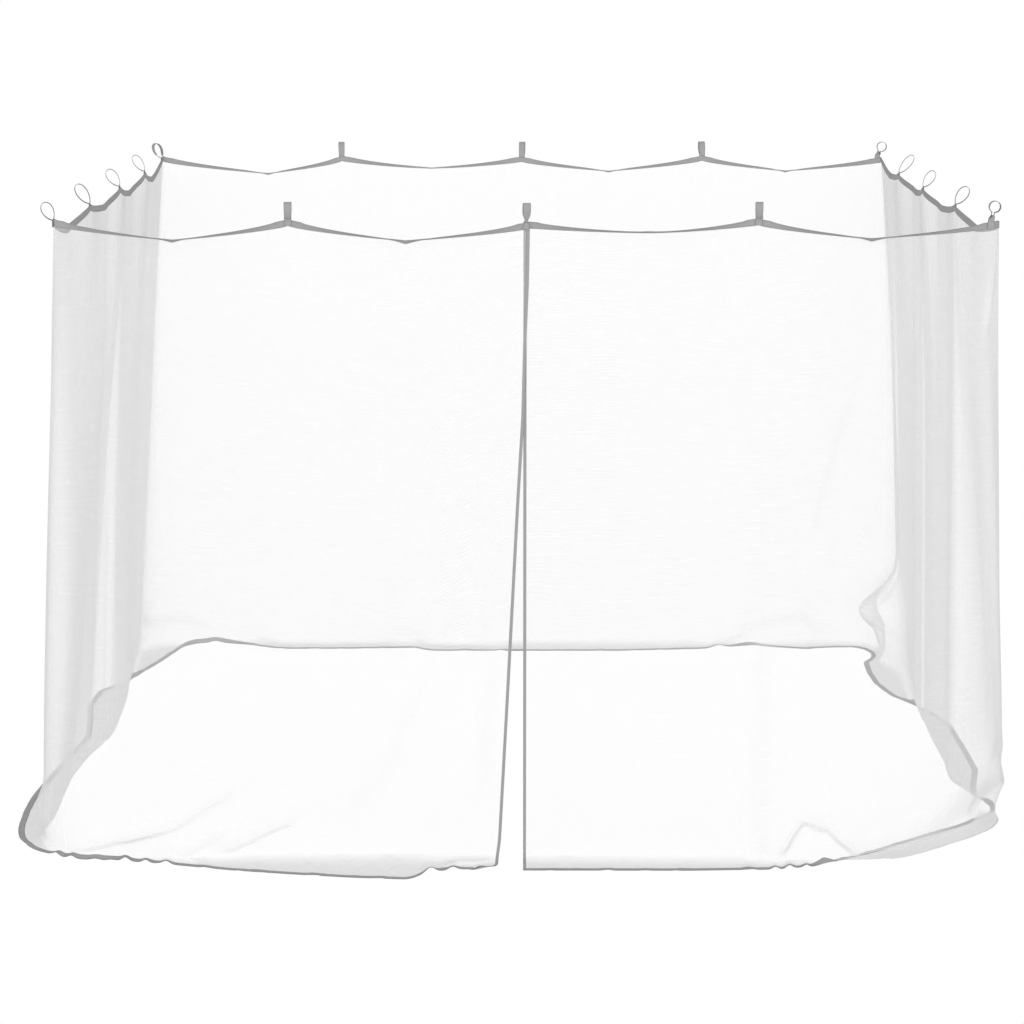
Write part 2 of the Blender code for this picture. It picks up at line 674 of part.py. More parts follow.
def add_loop(loop, parent):
    """One loop of tape, its tail sewn to the outer face of the heading."""
    name = f"loop_{loop.name}"
    side = int((loop.run + HALF) // SIDE)
    outward = turned_about_z(Vector((0, -1, 0)), side * math.pi / 2)
    along = Vector((-outward.y, outward.x, 0))
    seat = CLOTH.heading_point(loop.run, HEADING_WIDTH)
    origin = seat + outward * (TAPE_THICK / 2 + LOOP_THICK + SEAM_GAP)
    if not loop.turn:
        outer, inner = outlines(teardrop(loop.long, loop.wide), loop.lean)
        tail = [(LOOP_THICK, 0.0), (LOOP_THICK, -HEADING_WIDTH)]
        tail += [(-LOOP_THICK, -HEADING_WIDTH), (-LOOP_THICK, 0.0)]
        frame = (origin, outward, along)
        return add_object(name, loop_maker(outer, inner, tail, frame), "tape", parent)
    away = along * math.copysign(1, loop.turn)
    top = origin + Vector((0, 0, loop.neck)) + away * loop.neck * math.sin(math.radians(loop.lean))
    outer, inner = outlines(ring(loop.long, loop.wide), 2 * loop.lean)
    open_ring = add_object(name, loop_maker(outer, inner, [], (top, away, outward)), "tape", parent)
    neck = add_object(f"{name}_neck", neck_maker(origin, outward, along, loop), "tape", parent)
    join(open_ring, neck)
    return open_ring


def main():
    for old in list(bpy.data.objects):
        bpy.data.objects.remove(old, do_unlink=True)
    parent = bpy.data.objects.new("canopy", None)
    bpy.context.scene.collection.objects.link(parent)
    for panel in PANELS:
        add_cloth(panel, parent)
    for loop in LOOPS:
        add_loop(loop, parent)


main()
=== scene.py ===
"""The looks of the mosquito net canopy: its sheer mesh, its sewn tapes and its hanging loops.

Metres, +Z up, with the origin in the middle of the rails. The front is towards -Y. A place on
the cloth is given by its `run`, the distance around the rails from the front opening by the
right wall, the back and the left wall, and by its `up`, the distance up the cloth from the
hem's lower edge.
"""

import math
from collections import namedtuple

import bmesh
import bpy
import numpy as np
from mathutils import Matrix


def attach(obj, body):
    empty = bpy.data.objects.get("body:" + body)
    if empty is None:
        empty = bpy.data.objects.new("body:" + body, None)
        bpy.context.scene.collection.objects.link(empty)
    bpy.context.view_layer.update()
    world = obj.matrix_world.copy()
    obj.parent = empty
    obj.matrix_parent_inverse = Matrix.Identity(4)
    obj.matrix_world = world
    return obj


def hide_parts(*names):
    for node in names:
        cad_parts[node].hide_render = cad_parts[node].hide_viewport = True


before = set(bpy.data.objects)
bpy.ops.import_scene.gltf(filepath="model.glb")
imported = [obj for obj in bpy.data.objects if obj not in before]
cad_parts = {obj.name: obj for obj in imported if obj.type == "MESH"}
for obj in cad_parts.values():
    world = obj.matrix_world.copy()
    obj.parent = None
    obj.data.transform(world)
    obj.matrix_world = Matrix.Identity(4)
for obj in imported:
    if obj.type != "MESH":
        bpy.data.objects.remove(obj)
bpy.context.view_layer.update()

# --- driving sizes, as the solids have them ---------------------------------------------------
SIDE = 3.0  # the rectangle of rails, each way
HALF = SIDE / 2
DROP = 2.15  # rails to floor
LOOPS_A_SIDE = 4
PITCH = SIDE / LOOPS_A_SIDE
AROUND = 4 * SIDE
JUST_UNDER = 1e-6  # by which the last run stays in the last span
TAPE_THICK = 0.0022
BINDING_THICK = TAPE_THICK * 1.15
HEADING_WIDTH = 0.022
HEM_WIDTH = 0.022
BINDING_WIDTH = 0.010
LOOP_WIDTH = 0.025
LOOP_THICK = 0.0015
SEAM_GAP = 0.0005  # between two cloths
SEAM_ALLOWANCE = 0.004  # how far the mesh reaches into the tapes sewn over its edges
FLOOR_CLEAR = 0.0016  # middle of the cloth above the floor

# The heading between two loops. A place on it is told by its fall, from 0 at a loop to 1 at the
# lowest point of the sag.
LOW_PULL = 0.008  # the top edge lies this far in from the rails at its lowest point
PULL_REACH = 0.8  # fall at which the pull of a loop ends
PULL_FADE = 5  # the power by which a loop's pull dies away down the wall
SAG_POWER = 0.9  # the curve of a rounded sag
SHARP_POWER = 0.7  # the curve of a pointed one
LEAN_START = 0.11  # fall at which the tape starts to lean outward
LEAN_POWER = 0.35
FLOP_POWER = 10  # the higher, the nearer to the lowest point the tape flops over
CURL_SHARE = 0.25  # share of the tape's width over which it bends where it has flopped over
CURL_STEPS = 12

# The walls, from the heading's seam down to the floor and out over it to the hem.
FLARE = 0.3  # how much sooner than evenly a wall comes outward on its way down
LATE_POWER = 7  # the higher, the lower the place where the late part of that comes
HEM_LAG = 1.6  # the power by which the cloth on the floor spreads out to its hem
WALL_STEPS = 90
FLOOR_STEPS = 40
SPARE = 0.02  # each cut of the cloth is known this far past its ends
NUDGE = 0.003  # step along the cloth by which its slope is measured
FOOT_BLUR = 0.030  # run over which the rows of the foot's tables are softened, either way
BLUR_SAMPLES = 5
CORNER_TOP_RADIUS = 0.02
CORNER_GROWTH = 3.5  # the power by which a corner rounds off on its way down
FOLD_GROWTH = 0.45  # share of its length over which a fold grows to its depth
FOLD_FADE = (0.75, 0.35)  # where a fold that ends on the wall starts to fade, and over how much
FOLD_OVERRUN = 1.1  # how far past its low place a fold keeps its direction, in its lengths
BEND_POWER = 3  # the curve of the cloth as it bends from the wall to the floor
FLATTEN_POWER = 2  # and of a fold as it dies away over the floor

# The opening.
OPENING_REACH = 0.8  # run over which the left front cloth drifts
DRIFT_BLUR = 0.02
OVERLAP_LIFT = 0.007  # the left front cloth lies this far outside the right one
OVERLAP_START = 11.7
OVERLAP_RISE = 0.2

# The loops.
LOOP_PINCH = 0.55  # angle at the foot of a loop that its round leaves out
LOOP_BELLY = 0.52  # half of a loop's width, as a share of it, before it tapers
LOOP_TAPER = 0.5  # the power by which its round narrows towards its foot

SEED = 7


def table(columns, *rows, defaults=()):
    """A short table with named columns. The last ones may be left out where they have a default."""
    Row = namedtuple("Row", columns, defaults=defaults)
    return [Row(*row) for row in rows]


# The five cloths, as runs around the rails.
PANELS = table(
    "name start end",
    ("front_right", 0.0, 1.5),
    ("right", 1.5, 4.5),
    ("back", 4.5, 7.5),
    ("left", 7.5, 10.5),
    ("front_left", 10.5, 12.0),
)

# How far each corner has rounded off where it meets the floor.
CORNERS = table(
    "name radius",
    ("front_right", 0.55),
    ("back_right", 0.25),
    ("back_left", 0.22),
    ("front_left", 0.14),
)

# Where a loop is sewn on: the height of the heading's top edge there, and how far in from the
# rail it is drawn. Then the loop's lean outward in degrees, its length and width, the length of
# its neck, how far it turns about itself over the neck, and how much its foot is drawn together.
LOOPS = table(
    "name run height pull lean long wide neck turn draw",
    ("front_middle", 11.988, -0.059, 0.014, 32, 0.074, 0.034, 0.012, 3, 0.62),
    ("front_right_middle", 0.75, -0.050, 0.016, 34, 0.062, 0.038, 0.012, -4, 0.06),
    ("corner_front_right", 1.484, -0.055, -0.010, 9, 0.036, 0.036, 0.031, 90, 0.18),
    ("right_front", 2.25, -0.066, 0.025, 34, 0.070, 0.041, 0.012, -5, 0.05),
    ("right_middle", 3.00, -0.065, 0.035, 33, 0.069, 0.038, 0.012, -7, 0.05),
    ("right_back", 3.75, -0.068, 0.030, 38, 0.086, 0.036, 0.012, -6, 0.05),
    ("corner_back_right", 4.52, -0.054, 0.008, 15, 0.040, 0.038, 0.028, -90, 0.15),
    ("back_right_middle", 5.25, -0.048, 0.016, 32, 0.062, 0.040, 0.012, 4, 0.05),
    ("back_middle", 6.00, -0.053, 0.018, 35, 0.068, 0.038, 0.012, -3, 0.05),
    ("back_left_middle", 6.75, -0.050, 0.016, 32, 0.062, 0.040, 0.012, 4, 0.08),
    ("corner_back_left", 7.52, -0.051, 0.008, 26, 0.066, 0.038, 0.020, 32, 0.12),
    ("left_back", 8.25, -0.061, 0.026, 34, 0.073, 0.038, 0.012, 7, 0.05),
    ("left_middle", 9.00, -0.062, 0.026, 35, 0.072, 0.043, 0.012, 7, 0.05),
    ("left_front", 9.75, -0.065, 0.022, 33, 0.078, 0.042, 0.012, 4, 0.05),
    ("corner_front_left", 10.48, -0.050, 0.008, 27, 0.062, 0.041, 0.016, 6, 0.10),
    ("front_left_middle", 11.25, -0.052, 0.016, 33, 0.063, 0.040, 0.012, 4, 0.10),
)

# The sag of the top edge between two loops: where its lowest point lies as a share of the
# span, the height of that point, how sharp the sag's point is, and the tape's lean outward in
# degrees, which grows evenly by `lean` and ends at `flop` in the lowest place.
SPANS = table(
    "low_share low_height sharp lean flop",
    (0.535, -0.086, 0.4, 90, 77),
    (0.477, -0.105, 1.0, 90, 119),
    (0.54, -0.116, 0.6, 20, 35),
    (0.61, -0.118, 0.6, 5, 15),
    (0.52, -0.116, 0.8, 10, 25),
    (0.60, -0.112, 0.6, 15, 30),
    (0.535, -0.104, 1.0, 90, 122),
    (0.518, -0.105, 1.0, 90, 120),
    (0.50, -0.093, 0.45, 90, 95),
    (0.41, -0.115, 1.0, 90, 122),
    (0.47, -0.122, 0.9, 10, 20),
    (0.44, -0.121, 0.8, 5, 20),
    (0.37, -0.116, 0.8, 10, 25),
    (0.59, -0.113, 0.5, 15, 30),
    (0.51, -0.110, 1.0, 90, 113),
    (0.487, -0.112, 1.0, 90, 125),
)

# The foot of the walls: the outward distance at which the cloth meets the floor and that of the
# hem's edge, both from the line of the rails, the height at which the cloth starts to bend, and,
# where the hem is tucked in, how far the cloth first draws in and then swells out before it.
FOOT = table(
    "run fold hem bend draw swell",
    (0.00, 0.055, 0.160, 0.030),
    (0.59, 0.060, 0.162, 0.030),
    (0.80, 0.062, 0.152, 0.040),
    (0.91, 0.064, 0.149, 0.050),
    (1.02, 0.068, 0.128, 0.110),
    (1.10, 0.069, 0.043, 0.100, 0.0, 0.010),
    (1.16, 0.063, 0.022, 0.080, 0.0, 0.022),
    (1.23, 0.054, -0.008, 0.080, 0.0, 0.058),
    (1.29, 0.044, -0.026, 0.090, 0.0, 0.098),
    (1.42, 0.062, -0.050, 0.160, 0.0, 0.096),
    (1.50, 0.076, -0.050, 0.220, 0.008, 0.090),
    (1.57, 0.084, -0.045, 0.260, 0.016, 0.092),
    (1.68, 0.108, -0.022, 0.250, 0.036, 0.092),
    (1.75, 0.120, 0.012, 0.200, 0.058, 0.085),
    (1.86, 0.133, 0.060, 0.140, 0.052, 0.060),
    (1.92, 0.143, 0.116, 0.110, 0.010, 0.0),
    (1.98, 0.134, 0.130, 0.090),
    (2.04, 0.118, 0.128, 0.085),
    (2.15, 0.061, 0.106, 0.095),
    (2.28, 0.018, 0.120, 0.045),
    (2.52, 0.036, 0.161, 0.030),
    (2.84, 0.036, 0.161, 0.030),
    (3.20, 0.036, 0.155, 0.035),
    (3.42, 0.040, 0.110, 0.050),
    (3.50, 0.050, 0.065, 0.070),
    (3.68, 0.060, -0.020, 0.090),
    (3.88, 0.067, -0.063, 0.120),
    (4.09, 0.070, -0.073, 0.150),
    (4.29, 0.070, -0.066, 0.150),
    (4.45, 0.125, 0.029, 0.130),
    (4.53, 0.133, 0.069, 0.120),
    (4.72, 0.080, -0.024, 0.110),
    (4.86, 0.077, 0.011, 0.120),
    (4.98, 0.073, 0.052, 0.110),
    (5.10, 0.070, 0.014, 0.080),
    (5.20, 0.070, -0.017, 0.060),
    (5.57, 0.064, -0.054, 0.035),
    (6.40, 0.062, -0.055, 0.030),
    (6.48, 0.064, 0.001, 0.030),
    (6.78, 0.070, -0.018, 0.030),
    (7.06, 0.078, -0.019, 0.040),
    (7.14, 0.086, 0.019, 0.050),
    (7.21, 0.092, 0.056, 0.060),
    (7.32, 0.098, 0.090, 0.070),
    (7.43, 0.104, 0.096, 0.070),
    (7.53, 0.108, 0.014, 0.070),
    (7.62, 0.110, -0.006, 0.065),
    (7.74, 0.108, 0.017, 0.055),
    (7.92, 0.104, 0.070, 0.045),
    (8.01, 0.098, 0.086, 0.040),
    (8.24, 0.080, 0.208, 0.035),
    (8.50, 0.060, 0.216, 0.030),
    (8.70, 0.052, 0.188, 0.030),
    (8.96, 0.044, 0.159, 0.030),
    (9.20, 0.052, 0.180, 0.030),
    (9.32, 0.058, 0.190, 0.030),
    (9.48, 0.070, 0.205, 0.035),
    (9.62, 0.080, 0.215, 0.035),
    (9.73, 0.078, 0.226, 0.035),
    (9.88, 0.078, 0.232, 0.040),
    (10.01, 0.076, 0.229, 0.040),
    (10.17, 0.078, 0.220, 0.040),
    (10.26, 0.088, 0.209, 0.040),
    (10.35, 0.092, 0.187, 0.045),
    (10.41, 0.080, 0.150, 0.050),
    (10.45, 0.070, 0.105, 0.050),
    (10.49, 0.055, 0.085, 0.050),
    (10.54, 0.040, 0.060, 0.040),
    (10.62, 0.030, 0.050, 0.030),
    (10.74, 0.040, 0.076, 0.030),
    (10.82, 0.055, 0.098, 0.030),
    (10.90, 0.055, 0.120, 0.030),
    (11.04, 0.055, 0.162, 0.030),
    (11.25, 0.055, 0.205, 0.030),
    (11.45, 0.055, 0.237, 0.030),
    (11.69, 0.055, 0.258, 0.030),
    (11.75, 0.055, 0.165, 0.035),
    (11.80, 0.054, 0.168, 0.035),
    (11.86, 0.054, 0.130, 0.040),
    (11.92, 0.054, 0.160, 0.030),
    (12.00, 0.055, 0.130, 0.030),
    defaults=(0.0, 0.0),
)

# How much of that outward distance the wall only reaches low down. Where it is less than nothing,
# the wall stands out further at mid-height than at its foot.
LATE_FOLD = table(
    "run late",
    (1.76, 0.0),
    (1.86, 0.030),
    (1.92, 0.048),
    (1.98, 0.048),
    (2.04, 0.036),
    (2.15, 0.0),
    (9.20, 0.0),
    (9.40, 0.020),
    (9.62, 0.035),
    (9.88, 0.040),
    (10.10, 0.038),
    (10.22, 0.024),
    (10.32, -0.010),
    (10.42, -0.024),
    (10.50, -0.010),
    (10.58, 0.0),
)

# Long folds of the walls: from a place high on the wall to one low on it, with the depth of the
# fold (outward is positive), the half of its width on the side of the smaller runs and on the
# other one, the share of depth and width it has at its top, and whether it runs on to the floor.
FOLDS = table(
    "top_run top_height low_run low_height depth before after early to_floor",
    (0.78, -0.20, 0.81, -2.00, 0.014, 0.035, 0.160, 1.0, True),
    (1.56, -0.17, 1.80, -0.45, 0.012, 0.040, 0.040, 1.0, False),
    (2.28, -0.08, 2.20, -2.00, 0.036, 0.400, 0.120, 0.22, False),
    (3.16, -0.20, 3.16, -2.00, 0.005, 0.160, 0.022, 1.0, True),
    (4.10, -0.20, 4.20, -2.05, 0.006, 0.020, 0.020, 1.0, True),
    (4.60, -1.00, 4.80, -1.78, 0.014, 0.070, 0.070, 1.0, False),
    (5.30, -0.60, 5.26, -2.00, 0.010, 0.090, 0.090, 1.0, True),
    (7.20, -0.30, 7.28, -2.00, 0.012, 0.100, 0.100, 1.0, True),
    (8.80, -0.20, 9.28, -2.00, 0.045, 0.150, 0.900, 0.18, True),
    (8.96, -1.00, 9.10, -1.95, 0.005, 0.030, 0.030, 1.0, True),
    (10.95, -1.78, 10.66, -2.10, 0.014, 0.060, 0.060, 1.0, False),
    (11.40, -1.86, 10.98, -2.13, 0.012, 0.060, 0.060, 1.0, False),
    (11.90, -1.30, 11.93, -1.95, 0.010, 0.035, 0.035, 1.0, False),
)

# Round pushes in the cloth, low on the walls.
DENTS = table(
    "run height depth half_run half_height",
    (4.30, -1.93, -0.160, 0.19, 0.105),
    (10.34, -2.03, 0.030, 0.07, 0.06),
    (1.98, -2.02, 0.025, 0.12, 0.10),
)

# Creases pressed into the cloth, each along a path of (run, up) places: how far the cloth stands
# out along it, the half of its width, and how much more the net covers there, partly as net bunched in the
# crease and partly as painted shade along it.
CREASES = table(
    "depth half closer path",
    (0.030, 0.019, 0.32, ((0.89, 0.025), (0.925, 0.131), (0.965, 0.191), (0.995, 0.188),
                          (1.065, 0.126), (1.145, 0.091), (1.20, 0.070))),
    (0.000, 0.036, 0.20, ((0.755, 2.300), (0.775, 1.20), (0.80, 0.55), (0.84, 0.11), (0.90, -0.400))),
    (0.020, 0.018, 0.22, ((10.46, 0.020), (10.58, 0.063), (10.755, 0.120), (10.835, 0.148),
                          (10.915, 0.218), (11.02, 0.309), (11.10, 0.380))),
    (0.014, 0.014, 0.18, ((10.89, 0.020), (10.875, 0.070), (10.965, 0.142), (11.04, 0.200))),
    (0.015, 0.017, 0.18, ((10.95, 0.090), (11.045, 0.150), (11.17, 0.238), (11.28, 0.280))),
    (0.006, 0.036, 0.14, ((11.45, 0.250), (11.44, 0.341), (11.545, 0.451), (11.60, 0.537),
                          (11.65, 0.683), (11.76, 0.850))),
    (0.000, 0.030, 0.18, ((11.93, 0.250), (11.94, 0.850))),
    (0.008, 0.009, 0.40, ((11.78, 0.012), (11.855, 0.055), (11.995, 0.075))),
    (0.014, 0.018, 0.20, ((7.61, 0.263), (7.555, 0.189), (7.39, 0.089), (7.345, 0.027))),
    (0.012, 0.018, 0.20, ((7.345, 0.050), (7.105, 0.083), (6.585, 0.075), (6.525, 0.106),
                          (6.435, 0.095), (5.965, 0.046))),
    (0.016, 0.020, 0.25, ((5.265, 0.057), (5.10, 0.053), (4.995, 0.071), (4.91, 0.124), (4.79, 0.164),
                          (4.755, 0.183), (4.705, 0.142), (4.585, 0.102))),
    (0.008, 0.020, 0.15, ((4.60, 1.136), (4.64, 0.927), (4.69, 0.779), (4.74, 0.494))),
    (0.005, 0.010, 0.25, ((1.69, 0.560), (2.10, 0.100))),
)

# Places where the hem has lifted off the floor: how far, and the half of their width.
LIFTS = table(
    "run lift half",
    (10.48, 0.012, 0.012),
    (10.52, 0.010, 0.010),
    (10.58, 0.006, 0.014),
    (10.67, 0.014, 0.016),
    (10.74, 0.010, 0.014),
    (10.81, 0.012, 0.018),
    (11.76, 0.012, 0.022),
    (11.84, 0.010, 0.018),
    (0.89, 0.010, 0.014),
    (0.94, 0.014, 0.016),
    (1.00, 0.010, 0.014),
    (7.35, 0.010, 0.020),
    (5.12, 0.010, 0.030),
)

# How far the left front cloth's free edge has drifted past the middle of the opening.
OPENING = table(
    "height drift",
    (-2.15, -0.082),
    (-2.08, -0.072),
    (-1.60, -0.046),
    (-0.95, -0.012),
    (-0.68, 0.004),
    (-0.44, 0.010),
    (-0.25, 0.018),
    (-0.06, 0.021),
)


# --- small helpers -----------------------------------------------------------------------------
def smooth(share):
    """0 to 1 with soft ends."""
    share = np.clip(share, 0.0, 1.0)
    return share * share * (3 - 2 * share)


def hump(distance, half):
    """1 in the middle, fading to almost 0 at twice the half width away."""
    return np.exp(-((distance / half) ** 2))


def column_of(rows, name):
    return np.array([getattr(row, name) for row in rows])


def looked_up(rows, column, place, key, blur):
    """The column's value at each place, straight between the rows and softened at them."""
    keys = column_of(rows, key)
    values = column_of(rows, column)
    near = [np.interp(place + aside, keys, values) for aside in np.linspace(-blur, blur, BLUR_SAMPLES)]
    return np.mean(near, axis=0)


def unit(vectors):
    return vectors / np.linalg.norm(vectors, axis=-1, keepdims=True)


def interpolated(wanted, known, values):
    """Row by row, the values at the wanted places."""
    return np.array([np.interp(w, k, v) for w, k, v in zip(wanted, known, values)])


def turned_about_z(x, y, angle):
    c = np.cos(angle)
    s = np.sin(angle)
    return c * x - s * y, s * x + c * y


# --- the shape of the cloth --------------------------------------------------------------------
def on_rails(run, down):
    """The point of the rounded rectangle at each run, and the outward direction there."""
    side = np.floor((run + HALF) / SIDE).astype(int) % 4
    along = (run + HALF) % SIDE - HALF
    radii = column_of(CORNERS, "radius")
    final = np.where(along > 0, radii[side], radii[side - 1])
    radius = CORNER_TOP_RADIUS + (final - CORNER_TOP_RADIUS) * down**CORNER_GROWTH
    straight = HALF - radius
    walked = np.abs(along) / HALF * (straight + radius * math.pi / 4)
    turned = np.maximum(walked - straight, 0.0) / radius
    sign = np.where(along > 0, 1.0, -1.0)
    sideways = sign * (np.minimum(walked, straight) + radius * np.sin(turned))
    inset = radius * (1 - np.cos(turned)) - HALF
    turn = side * math.pi / 2
    point = turned_about_z(sideways, inset, turn)
    outward = turned_about_z(sign * np.sin(turned), -np.cos(turned), turn)
    return point, outward


def top_edge(run):
    """At the heading's lower seam: its height, the tape's lean outward, and its distance in."""
    run = np.clip(run, 0.0, AROUND - JUST_UNDER)
    index = (run / PITCH).astype(int)
    share = run / PITCH - index
    low_share = column_of(SPANS, "low_share")[index]
    before = share < low_share
    fall = np.where(before, share / low_share, (1 - share) / (1 - low_share))
    seat = np.where(before, index, (index + 1) % len(LOOPS))
    sharp = column_of(SPANS, "sharp")[index]
    sag = (1 - sharp) * np.sin(fall * math.pi / 2) ** SAG_POWER + sharp * fall**SHARP_POWER
    high = column_of(LOOPS, "height")[seat] - HEADING_WIDTH
    low = column_of(SPANS, "low_height")[index] - HEADING_WIDTH / 2
    lean = column_of(SPANS, "lean")[index]
    flop = column_of(SPANS, "flop")[index]
    leant = np.maximum(fall - LEAN_START, 0.0) / (1 - LEAN_START)
    lean = lean * leant**LEAN_POWER + (flop - lean) * leant**FLOP_POWER
    seat_pull = column_of(LOOPS, "pull")[seat]
    pull = seat_pull + (LOW_PULL - seat_pull) * smooth(fall / PULL_REACH)
    return high + (low - high) * sag, np.radians(lean), pull


def fold_depth(run, height):
    """Outward push of the long folds and the dents at each place on the wall."""
    depth = 0.0
    for fold in FOLDS:
        share = (fold.top_height - height) / (fold.top_height - fold.low_height)
        middle = fold.top_run + (fold.low_run - fold.top_run) * np.clip(share, 0, FOLD_OVERRUN)
        fade = smooth(share / FOLD_GROWTH)
        if not fold.to_floor:
            start, length = FOLD_FADE
            fade = fade * (1 - smooth((share - start) / length))
        grown = fold.early + (1 - fold.early) * np.clip(share, 0, 1)
        half = np.where(run < middle, fold.before, fold.after) * grown
        depth = depth + fold.depth * fade * grown * hump(run - middle, half)
    for dent in DENTS:
        across = hump(run - dent.run, dent.half_run)
        depth = depth + dent.depth * across * hump(height - dent.height, dent.half_height)
    return depth


known_sections = {}  # the cuts already made, by their runs


def sections(run):
    """The cloth cut at each run, from just past the hem up to just past the heading's seam.

    Gives the distance up the cloth, the outward distance and the height of each cut's points.
    """
    key = run.tobytes()
    if key not in known_sections:
        known_sections[key] = new_sections(run[:, None])
    return known_sections[key]


def new_sections(run):
    """Cuts of the cloth for a column of runs, made from the hem's end up."""
    seam, _, pull = top_edge(run)
    columns = (looked_up(FOOT, name, run, "run", FOOT_BLUR) for name in FOOT[0]._fields[1:])
    fold, hem, bend, draw, swell = columns
    floor = -DROP + FLOOR_CLEAR
    share = np.arange(WALL_STEPS)[None, :] / WALL_STEPS
    wall_height = seam + (floor + bend - seam) * share
    drawn_in = LOW_PULL * (1 - share) + (pull - LOW_PULL) * (1 - share) ** PULL_FADE
    flare = share * (1 + FLARE * (1 - share))
    late = looked_up(LATE_FOLD, "late", run, "run", FOOT_BLUR)
    wall_out = (fold - late) * flare + late * share**LATE_POWER - drawn_in
    wall_out = wall_out + fold_depth(run, wall_height)
    share = np.arange(FLOOR_STEPS + 1)[None, :] / FLOOR_STEPS
    foot_height = floor + bend * (1 - share) ** BEND_POWER
    last_fold = fold_depth(run, floor + bend) * (1 - share) ** FLATTEN_POWER
    foot_out = fold + (hem - fold) * share**HEM_LAG + last_fold
    foot_out = foot_out - np.where(share < 0.5, draw, swell) * np.sin(2 * math.pi * share)
    past_hem = foot_out[:, -1:] + SPARE * np.sign(foot_out[:, -1:] - foot_out[:, -2:-1])
    outward = np.concatenate([wall_out[:, :1], wall_out, foot_out, past_hem], axis=1)
    outward = outward[:, ::-1]
    height = np.concatenate([seam + SPARE, wall_height, foot_height, foot_height[:, -1:]], axis=1)
    height = height[:, ::-1]
    steps = np.hypot(np.diff(outward, axis=1), np.diff(height, axis=1))
    up = np.concatenate([np.zeros((len(run), 1)), np.cumsum(steps, axis=1)], axis=1) - SPARE
    return up, outward, height


def placed(run, outward, height):
    """Points in space, with the drift of the free edge at the opening."""
    down = np.clip(-height / DROP, 0.0, 1.0)
    point, direction = on_rails(run, down)
    lift = OVERLAP_LIFT * smooth((run - OVERLAP_START) / OVERLAP_RISE)
    near = smooth((run - (AROUND - OPENING_REACH)) / OPENING_REACH)
    x = point[0] + direction[0] * (outward + lift)
    y = point[1] + direction[1] * (outward + lift)
    x = x + looked_up(OPENING, "drift", height, "height", DRIFT_BLUR) * near
    return np.stack(np.broadcast_arrays(x, y, height), axis=-1)


def smooth_cloth(run, up):
    """Points of the cloth before its fine relief."""
    known, outward, height = sections(run)
    return placed(run[:, None], interpolated(up, known, outward), interpolated(up, known, height))


def cloth_height(run):
    """Length of the cloth from the hem's edge up to the heading's seam, at each run."""
    return sections(run)[0][:, -2]


def with_normals(surface, run, up):
    """A surface's points and its unit normals, from short steps each way."""
    across = surface(run + NUDGE, up) - surface(run - NUDGE, up)
    along = surface(run, up + NUDGE) - surface(run, up - NUDGE)
    return surface(run, up), unit(np.cross(across, along))


# --- fine relief of the cloth ------------------------------------------------------------------
WEAKEST_WAVE = 0.5
WAVE_POWER = 0.7  # how much weaker a wave is the shorter it is
random_numbers = np.random.default_rng(SEED)


def wave_set(count, shortest, longest, slant):
    """Waves across the cloth: wavelength, phase, slant and strength of each."""
    lengths = np.geomspace(shortest, longest, count)
    phases = random_numbers.uniform(0, 2 * math.pi, count)
    slants = random_numbers.uniform(-slant, slant, count)
    strengths = random_numbers.uniform(WEAKEST_WAVE, 1.0, count) * (lengths / longest) ** WAVE_POWER
    return list(zip(lengths, phases, slants, strengths))


def waves(wave_rows, run, up):
    """The sum of the waves at each place, about -1 to 1."""
    total = 0.0
    for length, phase, slant, strength in wave_rows:
        total = total + strength * np.sin(2 * math.pi * (run + slant * up) / length + phase)
    return total / len(wave_rows) ** 0.5


# Soft waves of the walls, from the seam down.
DRAPE_WAVES = wave_set(count=9, shortest=0.11, longest=0.70, slant=0.10)
DRAPE_DEPTH = 0.0004
DRAPE_FADE = 0.25  # length below the seam over which they start

# Crumples of the cloth that lies on the floor.
CRUMPLE_WAVES = wave_set(count=12, shortest=0.040, longest=0.22, slant=1.2)
CRUMPLE_LIFT = 0.0035
CRUMPLE_START = 0.1  # only what is above this share of a wave lifts the cloth

# Pleats below each loop: so many in a fan that is this wide at the seam and widens downward.
GATHER_COUNT = 5
GATHER_DEPTH = 0.0012
GATHER_FAN = 0.030
GATHER_SPREAD = 0.20
GATHER_REACH = 2.2  # half of the whole width, in fans
GATHER_START = 0.02  # length below the seam over which the pleats begin
GATHER_FALL = 0.35  # and over which they die away
GATHER_SHIFT = 1.7  # angle by which each loop's pleats differ from the last one's

# Cloth counts as lying where its normal points up or down enough and it is near the floor.
LYING_FLATNESS = 0.3  # square of the upward part of the normal from which it does
LYING_SPREAD = 0.5
LYING_TOP = 0.10
LYING_FADE = 0.08

CREASE_END = 0.22  # share of a crease's path over which it fades at either end
GENTLE = 4.0  # a crease is this much wider on its upper side than on its steep lower one
CUT_SHARE = 0.25  # share of a path's stretch that is cut off at each corner to round it
ROUNDINGS = 2
LIFT_REACH = 0.05  # how far up the cloth a lifted hem draws it off the floor
HOOK_RUN = 0.10  # the free edge's lower corner is drawn round, over this run
HOOK_RADIUS = 0.052
HOOK_RISE = 0.010


def gathers(run, below):
    """Soft pleats that fan out below each loop: `below` is the distance under the seam."""
    depth = 0.0
    for index, loop in enumerate(LOOPS):
        aside = run - loop.run
        aside = (aside + AROUND / 2) % AROUND - AROUND / 2
        fan = GATHER_FAN + GATHER_SPREAD * below
        fade = hump(aside, GATHER_REACH * fan) * np.exp(-below / GATHER_FALL)
        fade = fade * smooth(below / GATHER_START)
        depth = depth + fade * np.cos(GATHER_COUNT * aside / fan + index * GATHER_SHIFT)
    return GATHER_DEPTH * depth


def relief(run, up, height):
    """How far the fine folds push the cloth along its normal."""
    below = cloth_height(run)[:, None] - up
    run = run[:, None]
    drape = DRAPE_DEPTH * smooth(below / DRAPE_FADE) * waves(DRAPE_WAVES, run, height)
    return drape + gathers(run, below)


